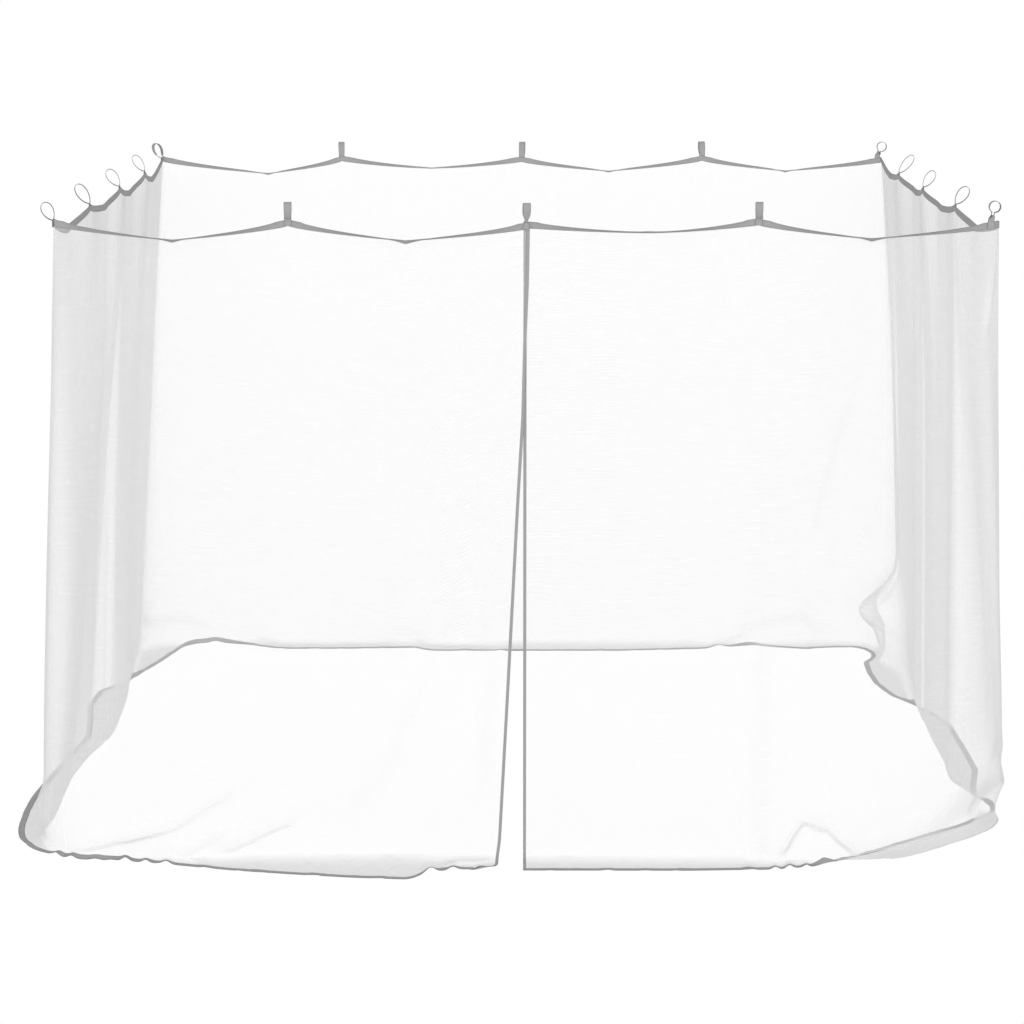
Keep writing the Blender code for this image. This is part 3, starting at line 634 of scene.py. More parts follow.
def rounded(path):
    """A path with its corners cut off, and the new ones again."""
    path = np.array(path)
    for _ in range(ROUNDINGS):
        here = path[:-1]
        there = path[1:]
        first = (1 - CUT_SHARE) * here + CUT_SHARE * there
        second = CUT_SHARE * here + (1 - CUT_SHARE) * there
        cut = np.stack([first, second], axis=1).reshape(-1, 2)
        path = np.concatenate([path[:1], cut, path[-1:]])
    return path


def beside_path(path, run, up):
    """Each place's distance from a path over the cloth, whether it lies above it, and its share
    of the way along it.
    """
    path = rounded(path)
    lengths = np.linalg.norm(np.diff(path, axis=0), axis=1)
    walked = 0.0
    nearest = np.full(np.broadcast(run, up).shape, np.inf)
    along = np.zeros_like(nearest)
    above = np.zeros_like(nearest)
    for start, end, length in zip(path[:-1], path[1:], lengths):
        step = (end - start) / length
        right = run - start[0]
        higher = up - start[1]
        reach = np.clip(right * step[0] + higher * step[1], 0.0, length)
        aside = np.hypot(right - reach * step[0], higher - reach * step[1])
        nearer = aside < nearest
        side = (step[0] * higher - step[1] * right) * np.sign(step[0])
        along = np.where(nearer, walked + reach, along)
        above = np.where(nearer, side, above)
        nearest = np.minimum(aside, nearest)
        walked += length
    return nearest, above > 0, along / walked


def creased(run, up):
    """The creases' push along the cloth's normal, and how much more the net covers there: partly net
    bunched in the crease, partly painted shade along it.
    """
    push = np.zeros(np.broadcast(run, up).shape)
    closer = np.zeros_like(push)
    for crease in CREASES:
        aside, above, along = beside_path(crease.path, run, up)
        fade = smooth(along / CREASE_END) * smooth((1 - along) / CREASE_END)
        half = np.where(above, GENTLE * crease.half, crease.half)
        push = push + crease.depth * fade * hump(aside, half)
        closer = np.maximum(closer, crease.closer * fade * hump(aside, crease.half))
    return push, closer


def lifted(run, up):
    """How far the hem and the cloth beside it stand off the floor."""
    rise = sum(lift.lift * hump(run - lift.run, lift.half) for lift in LIFTS)
    return rise * np.maximum(1 - up / LIFT_REACH, 0.0)


def hooked(run, up):
    """How far the lower corner of the left front cloth's free edge is drawn in, 0 to 1."""
    low = np.clip(1 - up / HOOK_RADIUS, 0.0, 1.0)
    return smooth((run - (AROUND - HOOK_RUN)) / HOOK_RUN) * (1 - np.sqrt(1 - low**2))


def crumple(run, up):
    """How far the cloth that lies on the floor is lifted by its crumples."""
    lift = waves(CRUMPLE_WAVES, run, up)
    return CRUMPLE_LIFT * np.maximum(lift - CRUMPLE_START, 0.0)


def cloth(run, up):
    """Points of the cloth with its fine relief."""
    point, normal = with_normals(smooth_cloth, run, up)
    height = point[..., 2]
    flat = smooth((normal[..., 2] ** 2 - LYING_FLATNESS) / LYING_SPREAD)
    lying = flat * smooth((LYING_TOP - height - DROP) / LYING_FADE)
    column = run[:, None]
    push = relief(run, up, height) * (1 - lying) + creased(column, up)[0]
    point = point + normal * push[..., None]
    hook = hooked(column, up)
    point[..., 0] -= HOOK_RADIUS * hook
    point[..., 2] += crumple(column, up) * lying + lifted(column, up) + HOOK_RISE * hook
    point[..., 2] = np.maximum(point[..., 2], -DROP + FLOOR_CLEAR / 2)
    return point


def heading_cloth(run, up):
    """Points on the heading tape, which bends outward above its seam where it has flopped over."""
    run = run[:, None]
    seam, lean, pull = top_edge(run)
    outward = fold_depth(run, seam) - pull
    height = seam
    for step in range(CURL_STEPS):
        at = up * (step + 0.5) / CURL_STEPS
        angle = lean * smooth(at / (CURL_SHARE * HEADING_WIDTH))
        outward = outward + np.sin(angle) * up / CURL_STEPS
        height = height + np.cos(angle) * up / CURL_STEPS
    return placed(run, outward, height)


# --- meshes ------------------------------------------------------------------------------------
def quads(wide, tall, first=0, flip=False):
    """Faces of a grid of points numbered column by column."""
    column, row = np.meshgrid(np.arange(wide - 1), np.arange(tall - 1), indexing="ij")
    corner = (first + column * tall + row).ravel()
    faces = np.stack([corner, corner + tall, corner + tall + 1, corner + 1], axis=1)
    return faces[:, ::-1] if flip else faces


def mesh_object(name, points, faces, uv, finish):
    """A smooth-shaded mesh object; uv has a row for each point."""
    mesh = bpy.data.meshes.new(name)
    mesh.from_pydata(points, [], faces)
    layer = mesh.uv_layers.new(name="Weave")
    loop_points = np.zeros(len(mesh.loops), dtype=np.int32)
    mesh.loops.foreach_get("vertex_index", loop_points)
    layer.data.foreach_set("uv", np.asarray(uv, dtype=np.float32)[loop_points].ravel())
    mesh.materials.append(finish)
    mesh.shade_smooth()
    made = bpy.data.objects.new(name, mesh)
    bpy.context.scene.collection.objects.link(made)
    return made


CLOSER_WITH_SHADE = "closer"  # the net's value at each point for how much more it covers in its creases: partly bunched net, partly painted shade along the crease


def add_net(name, runs, ups, finish):
    """An open sheet of mesh on the cloth's surface."""
    points = cloth(runs, ups).reshape(-1, 3)
    uv = np.stack([np.broadcast_to(runs[:, None], ups.shape), ups], axis=-1).reshape(-1, 2)
    made = mesh_object(name, points, quads(*ups.shape).tolist(), uv, finish)
    closer = made.data.attributes.new(CLOSER_WITH_SHADE, "FLOAT", "POINT")
    closer.data.foreach_set("value", creased(runs[:, None], ups)[1].ravel())
    return made


# A folded tape's section: places across it, and its thickness there as a share of the whole.
# It is thin at its edges and drawn in a little along its two rows of stitches.
TAPE_SECTION = table(
    "across thick",
    (0.00, 0.0),
    (0.025, 0.62),
    (0.07, 0.95),
    (0.13, 0.80),
    (0.20, 1.0),
    (0.50, 0.92),
    (0.80, 1.0),
    (0.87, 0.80),
    (0.93, 0.95),
    (0.975, 0.62),
    (1.00, 0.0),
)


def add_tape(name, surface, runs, ups, thick, finish, lengthwise=True):
    """A closed strip of tape on a surface. Its long side is the runs, or else the ups."""
    points, normals = with_normals(surface, runs, ups)
    section = column_of(TAPE_SECTION, "thick") * thick / 2
    offset = section[None, :] if lengthwise else section[:, None]
    push = normals * np.broadcast_to(offset, ups.shape)[..., None]
    outer = points + push
    inner = points - push
    faces = quads(*ups.shape).tolist() + quads(*ups.shape, ups.size, flip=True).tolist()
    along = np.broadcast_to(runs[:, None], ups.shape)
    across_share = column_of(TAPE_SECTION, "across")
    across = np.broadcast_to(across_share if lengthwise else across_share[:, None], ups.shape)
    uv = np.stack([along if lengthwise else ups, across], axis=-1).reshape(-1, 2)
    both = np.concatenate([outer.reshape(-1, 3), inner.reshape(-1, 3)])
    return closed(mesh_object(name, both, faces, np.concatenate([uv, uv]), finish))


WELD = 1e-6  # points nearer to each other than this are one


def closed(made):
    """Joins the two faces of a strip along its edges and closes its ends."""
    bm = bmesh.new()
    bm.from_mesh(made.data)
    bmesh.ops.remove_doubles(bm, verts=bm.verts, dist=WELD)
    open_edges = [edge for edge in bm.edges if edge.is_boundary]
    if open_edges:
        bmesh.ops.holes_fill(bm, edges=open_edges)
    bmesh.ops.recalc_face_normals(bm, faces=bm.faces)
    bm.to_mesh(made.data)
    bm.free()
    return made


STITCH_ROWS = (0.13, 0.87)  # places across a tape, as shares of its width
STITCH_PITCH = 0.005
STITCH_LONG = 0.0036
STITCH_WIDE = 0.0009
STITCH_HIGH = 0.0005
STITCH_SLANT = 0.12
STITCH_SEAT = 0.40  # how far a stitch lies out from the tape's middle, in thicknesses of the tape

# A stitch is a grain with six points: its two ends, its two sides, its underside and its top.
GRAIN_FACES = ((0, 2, 5), (0, 5, 3), (0, 3, 4), (0, 4, 2), (1, 5, 2), (1, 3, 5), (1, 4, 3), (1, 2, 4))


def add_stitches(name, middles, along, normals, finish):
    """Rows of thread: a grain at each middle, along its seam."""
    across = unit(np.cross(normals, along))
    along = along + across * STITCH_SLANT
    half_long = along * STITCH_LONG / 2
    half_wide = across * STITCH_WIDE / 2
    high = normals * STITCH_HIGH
    offsets = (-half_long, half_long, -half_wide, half_wide, -high / 2, high)
    points = np.stack([middles + offset for offset in offsets], axis=1).reshape(-1, 3)
    first = np.arange(len(middles))[:, None, None] * len(offsets)
    faces = (first + np.array(GRAIN_FACES)[None]).reshape(-1, 3)
    return mesh_object(name, points, faces.tolist(), points[:, :2], finish)


# --- materials ---------------------------------------------------------------------------------
NODE_STEP = 180


def add_node(tree, kind, **values):
    """A new node, to the right of the ones already made."""
    made = tree.nodes.new(kind)
    made.location = (NODE_STEP * len(tree.nodes), 0)
    for key, value in values.items():
        setattr(made, key, value)
    return made


def math_node(tree, operation, *inputs, clamp=False):
    """A Math node fed by numbers or by other nodes' outputs."""
    made = add_node(tree, "ShaderNodeMath", operation=operation, use_clamp=clamp)
    for socket, value in zip(made.inputs, inputs):
        if isinstance(value, (int, float)):
            socket.default_value = value
        else:
            tree.links.new(value, socket)
    return made.outputs[0]


def plus(tree, first, second):
    return math_node(tree, "ADD", first, second)


def minus(tree, first, second, clamp=False):
    return math_node(tree, "SUBTRACT", first, second, clamp=clamp)


def times(tree, first, second):
    return math_node(tree, "MULTIPLY", first, second)


def mapped(tree, value, span, result=(0.0, 1.0)):
    """The value's place in the span, with soft ends, carried over to the result's two values."""
    made = add_node(tree, "ShaderNodeMapRange", interpolation_type="SMOOTHSTEP")
    tree.links.new(value, made.inputs["Value"])
    for name, number in zip(("From Min", "From Max", "To Min", "To Max"), (*span, *result)):
        made.inputs[name].default_value = number
    return made.outputs["Result"]


def new_group(name, inputs, outputs):
    """A shader node group with float or vector sockets."""
    group = bpy.data.node_groups.new(name, "ShaderNodeTree")
    for socket, kind, default in inputs:
        made = group.interface.new_socket(socket, in_out="INPUT", socket_type=kind)
        if default is not None:
            made.default_value = default
    for socket, kind in outputs:
        group.interface.new_socket(socket, in_out="OUTPUT", socket_type=kind)
    return group, add_node(group, "NodeGroupInput"), add_node(group, "NodeGroupOutput")


def noise(tree, vector, scale, detail, stretch=(1.0, 1.0, 1.0)):
    """A noise texture in its own stretched space."""
    spread = add_node(tree, "ShaderNodeVectorMath", operation="MULTIPLY")
    tree.links.new(vector, spread.inputs[0])
    spread.inputs[1].default_value = stretch
    made = add_node(tree, "ShaderNodeTexNoise")
    tree.links.new(spread.outputs[0], made.inputs["Vector"])
    made.inputs["Scale"].default_value = scale
    made.inputs["Detail"].default_value = detail
    return made.outputs["Fac"]


SLOW_SHARE = 0.6  # of a yarn's unevenness; the quick one has the rest
STREAK_STRETCH = (14.0, 330.0, 1.0)  # streaks are long threads around the cloth, a few mm apart
STREAK_SPAN = (0.50, 0.72)  # the noise at which a thread starts to be thicker, and fully is
NET_PITCH = 0.0018  # between the net's holes, along a row
ROW_PITCH = 0.86  # between its rows, in pitches
HOLE_EDGE = (0.34, 0.46)  # where a hole ends and its thread begins, in pitches from its middle
THREAD_ROUND = (0.30, 0.60)  # where the thread rises from the hole, and where it is highest


def uneven_yarn():
    """Group: slow and quick unevenness of a yarn or cloth around 0.5, and its thicker threads."""
    group, start, end = new_group(
        "uneven_yarn",
        [("Weave", "NodeSocketVector", None), ("Streak", "NodeSocketFloat", 1.0)],
        [("Value", "NodeSocketFloat"), ("Streaks", "NodeSocketFloat")],
    )
    weave = start.outputs["Weave"]
    slow = noise(group, weave, scale=3.0, detail=3.0)
    quick = noise(group, weave, scale=60.0, detail=2.0)
    streaks = noise(group, weave, scale=1.0, detail=1.0, stretch=STREAK_STRETCH)
    value = plus(group, times(group, slow, SLOW_SHARE), times(group, quick, 1 - SLOW_SHARE))
    sharp = mapped(group, streaks, STREAK_SPAN)
    group.links.new(value, end.inputs["Value"])
    group.links.new(times(group, sharp, start.outputs["Streak"]), end.inputs["Streaks"])
    return group


def knitted_mesh():
    """Group: threads of a fine net with staggered round holes, from coordinates in metres."""
    group, start, end = new_group(
        "knitted_mesh",
        [("Weave", "NodeSocketVector", None), ("Pitch", "NodeSocketFloat", NET_PITCH)],
        [("Threads", "NodeSocketFloat"), ("Height", "NodeSocketFloat")],
    )
    split = add_node(group, "ShaderNodeSeparateXYZ")
    group.links.new(start.outputs["Weave"], split.inputs[0])
    pitch = start.outputs["Pitch"]
    u = math_node(group, "DIVIDE", split.outputs["X"], pitch)
    v = math_node(group, "DIVIDE", split.outputs["Y"], times(group, pitch, ROW_PITCH))
    row = math_node(group, "FLOOR", v)
    stagger = times(group, math_node(group, "MODULO", row, 2.0), 0.5)
    u = minus(group, math_node(group, "FRACT", plus(group, u, stagger)), 0.5)
    v = minus(group, math_node(group, "FRACT", v), 0.5)
    reach = math_node(group, "SQRT", plus(group, times(group, u, u), times(group, v, v)))
    group.links.new(mapped(group, reach, HOLE_EDGE), end.inputs["Threads"])
    group.links.new(mapped(group, reach, THREAD_ROUND), end.inputs["Height"])
    return group


UNEVEN_YARN = uneven_yarn()
KNITTED_MESH = knitted_mesh()


def placed_group(tree, group, weave, **values):
    """The group's outputs, placed in a material with its own values."""
    made = add_node(tree, "ShaderNodeGroup", node_tree=group)
    tree.links.new(weave, made.inputs["Weave"])
    for name, value in values.items():
        made.inputs[name].default_value = value
    return made.outputs


def mixed(tree, amount, first, second):
    """Colour between two, by the amount. The first may be another node's output."""
    made = add_node(tree, "ShaderNodeMix", data_type="RGBA")
    tree.links.new(amount, made.inputs["Factor"])
    if isinstance(first, tuple):
        made.inputs["A"].default_value = first
    else:
        tree.links.new(first, made.inputs["A"])
    made.inputs["B"].default_value = second
    return made.outputs["Result"]


def bump(tree, shader, height, strength, distance):
    """Relief of the surface by the height, which isn't in its mesh."""
    made = add_node(tree, "ShaderNodeBump")
    made.inputs["Strength"].default_value = strength
    made.inputs["Distance"].default_value = distance
    tree.links.new(height, made.inputs["Height"])
    tree.links.new(made.outputs["Normal"], shader.inputs["Normal"])


# Colours, as the yarn's unevenness goes from one to the other.
NET_COLOURS = ((0.90, 0.90, 0.90, 1), (0.95, 0.95, 0.95, 1))
TAPE_COLOURS = ((0.345, 0.345, 0.348, 1), (0.430, 0.430, 0.433, 1))
TAPE_EDGE_COLOUR = (0.265, 0.265, 0.268, 1)
THREAD_COLOURS = ((0.24, 0.24, 0.245, 1), (0.33, 0.33, 0.335, 1))
YARN_SPAN = (0.3, 0.7)  # the unevenness that takes the roughness from one end to the other


def yarn_material(name, streak, colours, roughness):
    """A new material of uneven yarn: itself, its tree, shader and weave, and the yarn's outputs."""
    made = bpy.data.materials.new(name)
    made.use_nodes = True
    tree = made.node_tree
    shader = tree.nodes["Principled BSDF"]
    weave = add_node(tree, "ShaderNodeUVMap", uv_map="Weave").outputs["UV"]
    yarn = placed_group(tree, UNEVEN_YARN, weave, Streak=streak)
    tree.links.new(mixed(tree, yarn["Value"], *colours), shader.inputs["Base Color"])
    tree.links.new(mapped(tree, yarn["Value"], YARN_SPAN, roughness), shader.inputs["Roughness"])
    return made, tree, shader, weave, yarn


# How much the net covers, as a share.
HOLE_COVER = 0.03
THREAD_COVER = 0.42
EVEN_COVER = 0.21  # of its threads and holes together
# Cover of the net that lies on the floor: partly its crumples, partly painted shadow of its threads on the
# floor beneath.
LYING_COVER_AND_SHADOW = 0.54
MOST_COVER = 0.95
STREAK_COVER = (0.95, 0.35)  # how much of it is there without streaks, and how much they add
ASLANT = (0.25, 0.75)  # how square on the net is seen as its holes open up
FLATTEST = (0.45, 0.95)  # the upward part of its normal as it starts to lie, and when it lies
LEAST_SQUARE_ON = 0.05


def net_material():
    """Sheer white polyester net: its threads cover about a fifth of it, seen square on."""
    made, tree, shader, weave, yarn = yarn_material("white_net", 1.0, NET_COLOURS, (0.78, 0.92))
    knit = placed_group(tree, KNITTED_MESH, weave, Pitch=NET_PITCH)
    shader.inputs["Specular IOR Level"].default_value = 0.15
    cover = mapped(tree, knit["Threads"], (0.0, 1.0), (HOLE_COVER, THREAD_COVER))
    plain, added = STREAK_COVER
    cover = times(tree, cover, plus(tree, plain, times(tree, yarn["Streaks"], added)))
    facing = add_node(tree, "ShaderNodeLayerWeight").outputs["Facing"]
    square_on = math_node(tree, "MAXIMUM", minus(tree, 1.0, facing), LEAST_SQUARE_ON)
    # Seen aslant, the threads hide the holes behind them and the net closes up evenly.
    opened = mapped(tree, square_on, ASLANT)
    # Lying on the floor it is crumpled, so it covers more; its cover is raised further there as painted
    # shadow of its threads on the floor beneath, which darkens the lying net.
    split = add_node(tree, "ShaderNodeSeparateXYZ")
    tree.links.new(add_node(tree, "ShaderNodeNewGeometry").outputs["Normal"], split.inputs[0])
    flatness = math_node(tree, "ABSOLUTE", split.outputs["Z"])
    even = mapped(tree, flatness, FLATTEST, (EVEN_COVER, LYING_COVER_AND_SHADOW))
    cover = plus(tree, even, times(tree, minus(tree, cover, EVEN_COVER), opened))
    # Along the creases the net covers more: partly bunched net, partly painted shade along the crease.
    closer = add_node(tree, "ShaderNodeAttribute", attribute_name=CLOSER_WITH_SHADE).outputs["Fac"]
    cover = math_node(tree, "MINIMUM", plus(tree, cover, closer), MOST_COVER)
    # A slanting look passes through that much more of the net.
    depth = math_node(tree, "DIVIDE", 1.0, square_on)
    open_share = math_node(tree, "POWER", minus(tree, 1.0, cover), depth)
    tree.links.new(minus(tree, 1.0, open_share, clamp=True), shader.inputs["Alpha"])
    bump(tree, shader, knit["Height"], strength=0.25, distance=0.0003)
    return made


RIB_PITCH = 0.0011  # between the tape's ribs, which lie across it
CORDS = 18  # ridges along the tape
CORD_SHARE = 0.5  # how high they are beside the ribs
TAPE_EDGE = (0.36, 0.5)  # where the darker edge begins and ends, in widths from the middle


def tape_material():
    """Grey ribbed tape: fine ribs across it, and darker, firmer edges."""
    made, tree, shader, weave, yarn = yarn_material("grey_tape", 0.4, TAPE_COLOURS, (0.70, 0.86))
    shader.inputs["Specular IOR Level"].default_value = 0.25
    split = add_node(tree, "ShaderNodeSeparateXYZ")
    tree.links.new(weave, split.inputs[0])
    lengthwise, across = split.outputs["X"], split.outputs["Y"]
    ribs = math_node(tree, "SINE", times(tree, lengthwise, 2 * math.pi / RIB_PITCH))
    cords = math_node(tree, "SINE", times(tree, across, 2 * math.pi * CORDS))
    aside = math_node(tree, "ABSOLUTE", minus(tree, across, 0.5))
    plain = shader.inputs["Base Color"].links[0].from_socket
    edged = mixed(tree, mapped(tree, aside, TAPE_EDGE), plain, TAPE_EDGE_COLOUR)
    tree.links.new(edged, shader.inputs["Base Color"])
    bump(tree, shader, plus(tree, ribs, times(tree, cords, CORD_SHARE)), strength=0.5, distance=0.0002)
    return made


def thread_material():
    """Sewing thread, a little darker and glossier than the tape."""
    made, tree, shader, _, yarn = yarn_material("sewing_thread", 0.0, THREAD_COLOURS, (0.45, 0.6))
    bump(tree, shader, yarn["Value"], strength=0.3, distance=0.0001)
    return made


NET = net_material()
TAPE = tape_material()
THREAD = thread_material()


# --- the five cloths ---------------------------------------------------------------------------
NET_COLUMN = 0.009
FRONT_NET_COLUMN = 0.0045
TAPE_COLUMN = 0.00625
CORNER_STEPS = (0.002, 0.005, 0.008, 0.013, 0.018, 0.024, 0.031)
FOOT_TOP = 0.46  # up to here the net's rows are as close as its columns
SHIN_TOP = 0.90  # and up to here a little wider
SHIN_STRETCH = 1.5
BODY_ROWS = 46
CROWN_ROWS = (0.14, 0.115, 0.095, 0.078, 0.063, 0.050, 0.038, 0.027, 0.018, 0.010, 0.0)


def run_columns(start, end, step):
    """Runs from start to end, closer together near the corners at either end."""
    even = np.linspace(start, end, round((end - start) / step) + 1)
    close = [start + aside for aside in CORNER_STEPS] + [end - aside for aside in CORNER_STEPS]
    return np.unique(np.round(np.concatenate([even, close]), 6))


def net_rows(run, step=NET_COLUMN):
    """Distances up the cloth of the net's rows: close at its foot and top, wide in between."""
    top = cloth_height(run)[:, None] + SEAM_ALLOWANCE
    foot = np.arange(HEM_WIDTH - SEAM_ALLOWANCE, FOOT_TOP, step)
    shin = np.arange(FOOT_TOP, SHIN_TOP, step * SHIN_STRETCH)
    low = np.concatenate([foot, shin])[None, :]
    crown = np.array(CROWN_ROWS)
    body = SHIN_TOP + (top - crown[0] - SHIN_TOP) * np.linspace(0, 1, BODY_ROWS)[None, :]
    low = np.broadcast_to(low, (len(run), low.size))
    return np.concatenate([low, body, top - crown[None, 1:]], axis=1)


def strip_rows(run, width):
    """Distances across a tape of this width, for each run."""
    across = column_of(TAPE_SECTION, "across") * width
    return np.broadcast_to(across[None, :], (len(run), len(across)))


def seam_stitches(surface, runs, at, thick):
    """Middles, directions and normals of a row of stitches, on both faces of a tape."""
    ups = np.full((len(runs), 1), at)
    points, normals = with_normals(surface, runs, ups)
    points = points[:, 0]
    normals = normals[:, 0]
    along = unit(np.gradient(points, axis=0))
    lift = normals * thick * STITCH_SEAT
    return (
        np.concatenate([points + lift, points - lift]),
        np.concatenate([along, along]),
        np.concatenate([normals, -normals]),
    )


def add_cloth(panel):
    """One wall's net with its heading, its hem, their stitches and any free edge's binding."""
    name = panel.name
    start = panel.start + SEAM_GAP / 2
    end = panel.end - SEAM_GAP / 2
    step = FRONT_NET_COLUMN if name.startswith("front") else NET_COLUMN
    runs = run_columns(start, end, step)
    tape_runs = run_columns(start, end, TAPE_COLUMN)
    net = add_net(f"net_wall_{name}", runs, net_rows(runs, step), NET)
    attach(net, "root")
    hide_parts(f"net_{name}")
    heading_rows = strip_rows(tape_runs, HEADING_WIDTH)
    heading = add_tape(f"heading_tape_{name}", heading_cloth, tape_runs, heading_rows, TAPE_THICK, TAPE)
    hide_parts(f"heading_{name}")
    hem = add_tape(f"hem_tape_{name}", cloth, tape_runs, strip_rows(tape_runs, HEM_WIDTH), TAPE_THICK, TAPE)
    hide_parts(f"hem_{name}")
    pieces = [heading, hem]
    free_edge = {"front_right": start, "front_left": end - BINDING_WIDTH}.get(name)
    if free_edge is not None:
        edge_runs = free_edge + column_of(TAPE_SECTION, "across") * BINDING_WIDTH
        binding = add_tape(f"binding_tape_{name}", cloth, edge_runs, net_rows(edge_runs), BINDING_THICK,
                           TAPE, lengthwise=False)
        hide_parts(f"binding_{name}")
        pieces.append(binding)
    stitch_runs = np.arange(start + STITCH_PITCH / 2, end, STITCH_PITCH)
    rows = []
    for surface, width in ((heading_cloth, HEADING_WIDTH), (cloth, HEM_WIDTH)):
        rows += [seam_stitches(surface, stitch_runs, share * width, TAPE_THICK) for share in STITCH_ROWS]
    middles, along, normals = (np.concatenate(part) for part in zip(*rows))
    pieces.append(add_stitches(f"stitches_{name}", middles, along, normals, THREAD))
    for piece in pieces:
        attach(piece, "root")
    return net, pieces


# --- hanging loops -----------------------------------------------------------------------------
LOOP_POINTS = 64  # around its round part
NECK_POINTS = 8
SHORTEST_NECK = 0.012
LOOP_APART = LOOP_THICK * 0.55  # middle of a loop's foot from the middle between its two feet
LOOP_OFF_TAPE = 0.0003
DRAW_HEIGHT = 0.004  # where a loop's foot is drawn together most, above the heading
DRAW_HALF = 0.016

# A loop tape's section: places across it, and its thickness there as a share of the whole.
LOOP_SECTION = table(
    "across thick",
    (-0.5, 0.0),
    (-0.485, 0.7),
    (-0.44, 1.0),
    (-0.2, 0.95),
    (0.0, 0.93),
    (0.2, 0.95),
    (0.44, 1.0),
    (0.485, 0.7),
    (0.5, 0.0),
)


def is_ring(loop):
    """Whether the loop's round stands square to the heading, above a neck."""
    return abs(loop.turn) == 90


def loop_round(loop):
    """Centre line of a loop's round in its own plane, from one foot to the other."""
    pinch = LOOP_PINCH / 2 if is_ring(loop) else LOOP_PINCH
    angles = np.linspace(pinch, 2 * math.pi - pinch, LOOP_POINTS)
    if is_ring(loop):
        across = loop.wide / 2 * np.sin(angles)
    else:
        across = loop.wide * LOOP_BELLY * np.sin(angles) * np.sin(angles / 2) ** LOOP_TAPER
    up = loop.long / 2 * (1 - np.cos(angles))
    lean = math.radians(loop.lean * (2 if is_ring(loop) else 1))
    leant = across * math.cos(lean) + up * math.sin(lean)
    up = up * math.cos(lean) - across * math.sin(lean)
    if is_ring(loop):
        up = up + loop.neck
        leant = leant + loop.neck * math.sin(math.radians(loop.lean))
    return leant, up


def loop_line(loop):
    """The loop's whole centre line as rows of (outward, up): foot, neck, round, neck, foot."""
    across, up = loop_round(loop)
    tail = np.linspace(-HEADING_WIDTH, 0.0, NECK_POINTS)
    neck = np.linspace(0.0, up[0], NECK_POINTS)[1:-1] if is_ring(loop) else np.zeros(0)
    feet = []
    for apart, reached in ((LOOP_APART, across[0]), (-LOOP_APART, across[-1])):
        bent = np.linspace(apart, reached, len(neck) + 2)[1:-1]
        feet.append(np.concatenate([np.full(len(tail), apart), bent]))
    rising = np.concatenate([tail, neck])
    across = np.concatenate([feet[0], across, feet[1][::-1]])
    up = np.concatenate([rising, up, rising[::-1]])
    return np.stack([across, up], axis=1)


def add_loop(loop):
    """One hanging loop: tape that goes up, round and down again, both ends sewn to the heading."""
    side = int((loop.run + HALF) // SIDE)
    outward = np.array([*turned_about_z(0.0, -1.0, side * math.pi / 2), 0.0])
    along = np.array([-outward[1], outward[0], 0.0])
    upward = np.array([0.0, 0.0, 1.0])
    seat = heading_cloth(np.array([loop.run]), np.array([[HEADING_WIDTH]]))[0, 0]
    origin = seat + outward * (TAPE_THICK / 2 + LOOP_THICK + LOOP_OFF_TAPE)
    line = loop_line(loop)
    tangent = unit(np.gradient(line, axis=0))
    normal = np.stack([tangent[:, 1], -tangent[:, 0]], axis=1)
    angle = np.radians(loop.turn) * smooth(line[:, 1] / max(loop.neck, SHORTEST_NECK))
    width = LOOP_WIDTH * (1 - loop.draw * hump(line[:, 1] - DRAW_HEIGHT, DRAW_HALF))
    outer = [(row.across, row.thick) for row in LOOP_SECTION]
    inner = [(across, -thick) for across, thick in outer[-2:0:-1]]
    rings = []
    for across, thick in outer + inner:
        flat = line + normal * thick * LOOP_THICK / 2
        aside = across * width
        out_part = flat[:, 0] * np.cos(angle) - aside * np.sin(angle)
        side_part = flat[:, 0] * np.sin(angle) + aside * np.cos(angle)
        beside = origin + out_part[:, None] * outward + side_part[:, None] * along
        rings.append(beside + flat[:, 1:] * upward)
    points = np.stack(rings, axis=1)
    steps, around = points.shape[:2]
    faces = []
    for step in range(steps - 1):
        here = step * around
        above = here + around
        for this in range(around):
            after = (this + 1) % around
            faces.append((here + this, above + this, above + after, here + after))
    faces.append(tuple(range(around)))
    faces.append(tuple((steps - 1) * around + this for this in reversed(range(around))))
    walked = np.concatenate([[0.0], np.cumsum(np.linalg.norm(np.diff(line, axis=0), axis=1))])
    shares = np.array([across + 0.5 for across, _ in outer + inner])
    uv = np.stack(np.broadcast_arrays(walked[:, None], shares), axis=-1).reshape(-1, 2)
    made = closed(mesh_object(f"loop_tape_{loop.name}", points.reshape(-1, 3), faces, uv, TAPE))
    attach(made, "root")
    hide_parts(f"loop_{loop.name}")
    return made


SHEET_SAMPLES = 50  # places at which a cloth's length is taken, for its mean


def add_canopy():
    """Every piece of the net: its loops, and each wall with what is sewn to it."""
    loops = {loop.run: add_loop(loop) for loop in LOOPS}
    for panel in PANELS:
        net, pieces = add_cloth(panel)
        samples = np.linspace(panel.start, panel.end, SHEET_SAMPLES)
        tall = float(np.mean(cloth_height(samples)))


# --- camera, light and floor -------------------------------------------------------------------
CAMERA_PLACE = (-0.021, -10.980, 0.779)
CAMERA_DOWN = math.radians(10.602)
CAMERA_TURN = 0.0016
CAMERA_LENS = 105.1
SENSOR = 36.0
CLIP_END = 100.0
WHITE = 1.0  # what the eye sees of the room and the floor
ROOM_LIGHT = 0.66  # what they light the net with
FLOOR_HALF = 30.0
FLOOR_GAP = 0.0005  # the floor lies this far below the lowest cloth


def add_camera():
    camera = bpy.data.cameras.new("camera")
    camera.lens = CAMERA_LENS
    camera.sensor_width = SENSOR
    camera.clip_end = CLIP_END
    made = bpy.data.objects.new("camera", camera)
    made.location = CAMERA_PLACE
    made.rotation_euler = (math.pi / 2 - CAMERA_DOWN, 0.0, CAMERA_TURN)
    bpy.context.scene.collection.objects.link(made)
    bpy.context.scene.camera = made


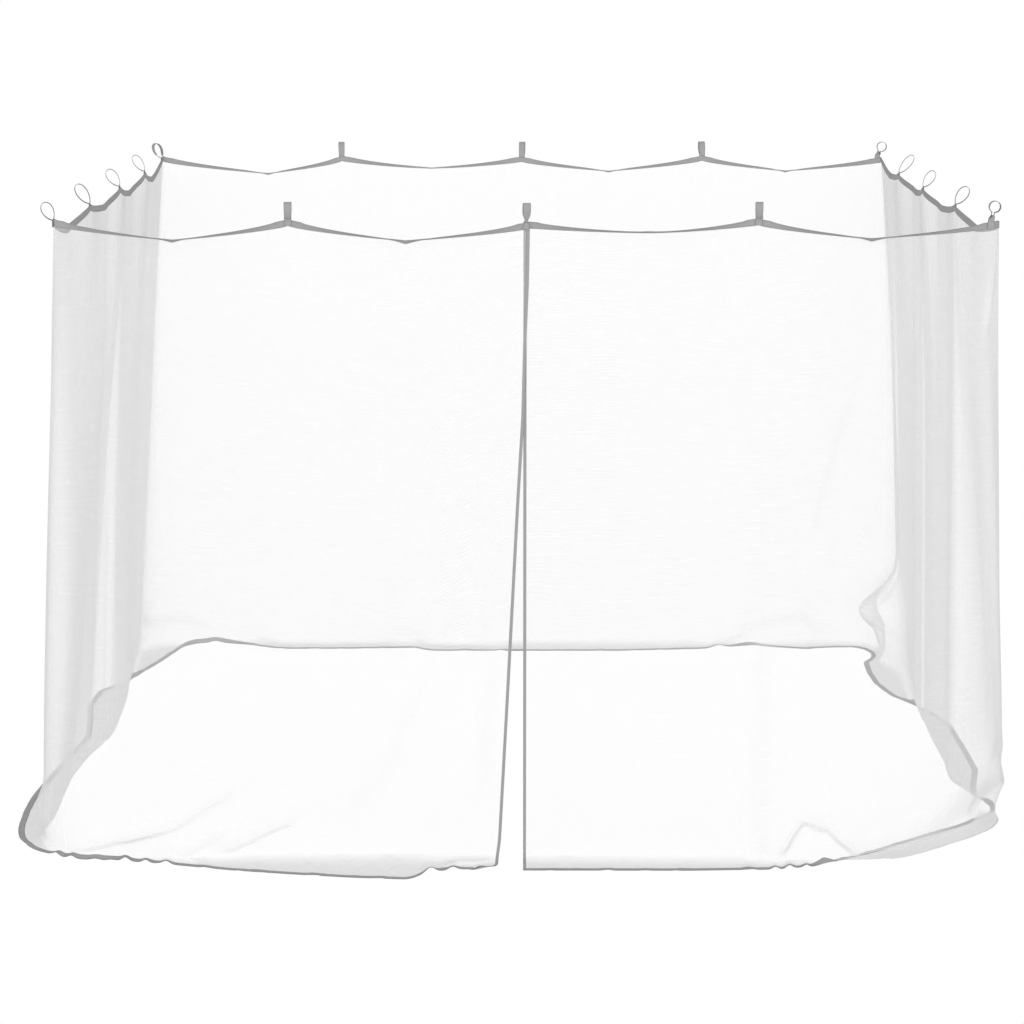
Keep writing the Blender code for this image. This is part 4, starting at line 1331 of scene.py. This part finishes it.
def two_level_strength(tree):
    """White to the eye, and a softer light on everything else."""
    seen = add_node(tree, "ShaderNodeLightPath").outputs["Is Camera Ray"]
    return plus(tree, times(tree, seen, WHITE - ROOM_LIGHT), ROOM_LIGHT)


def add_world():
    world = bpy.data.worlds.new("studio")
    world.use_nodes = True
    tree = world.node_tree
    background = tree.nodes["Background"]
    background.inputs["Color"].default_value = (1, 1, 1, 1)
    tree.links.new(two_level_strength(tree), background.inputs["Strength"])
    bpy.context.scene.world = world


def add_floor():
    """A pale floor that light falls on evenly."""
    made = bpy.data.materials.new("pale_floor")
    made.use_nodes = True
    tree = made.node_tree
    tree.nodes.remove(tree.nodes["Principled BSDF"])
    glow = add_node(tree, "ShaderNodeEmission")
    tree.links.new(two_level_strength(tree), glow.inputs["Strength"])
    tree.links.new(glow.outputs[0], tree.nodes["Material Output"].inputs["Surface"])
    mesh = bpy.data.meshes.new("floor")
    corners = ((-1, -1), (1, -1), (1, 1), (-1, 1))
    points = [(x * FLOOR_HALF, y * FLOOR_HALF, -DROP - FLOOR_GAP) for x, y in corners]
    mesh.from_pydata(points, [], [(0, 1, 2, 3)])
    mesh.materials.append(made)
    floor = bpy.data.objects.new("floor", mesh)
    bpy.context.scene.collection.objects.link(floor)


# Turn about the vertical, rise above the level and spread of each light, in degrees.
LIGHTS = table(
    "name turn rise strength spread",
    ("front", 0, 5, 1.42, 25),
    ("back", 180, 6, 0.75, 30),
)


def add_lights():
    """Soft light from the front, a little above, and a weaker one from behind."""
    for light in LIGHTS:
        data = bpy.data.lights.new(f"light_{light.name}", "SUN")
        data.energy = light.strength
        data.angle = math.radians(light.spread)
        made = bpy.data.objects.new(f"light_{light.name}", data)
        made.rotation_euler = (math.pi / 2 - math.radians(light.rise), 0, math.radians(light.turn))
        bpy.context.scene.collection.objects.link(made)


add_canopy()
add_camera()
add_world()
add_floor()
add_lights()
bpy.context.scene.view_settings.view_transform = "Standard"
bpy.context.scene.cycles.transparent_max_bounces = 32
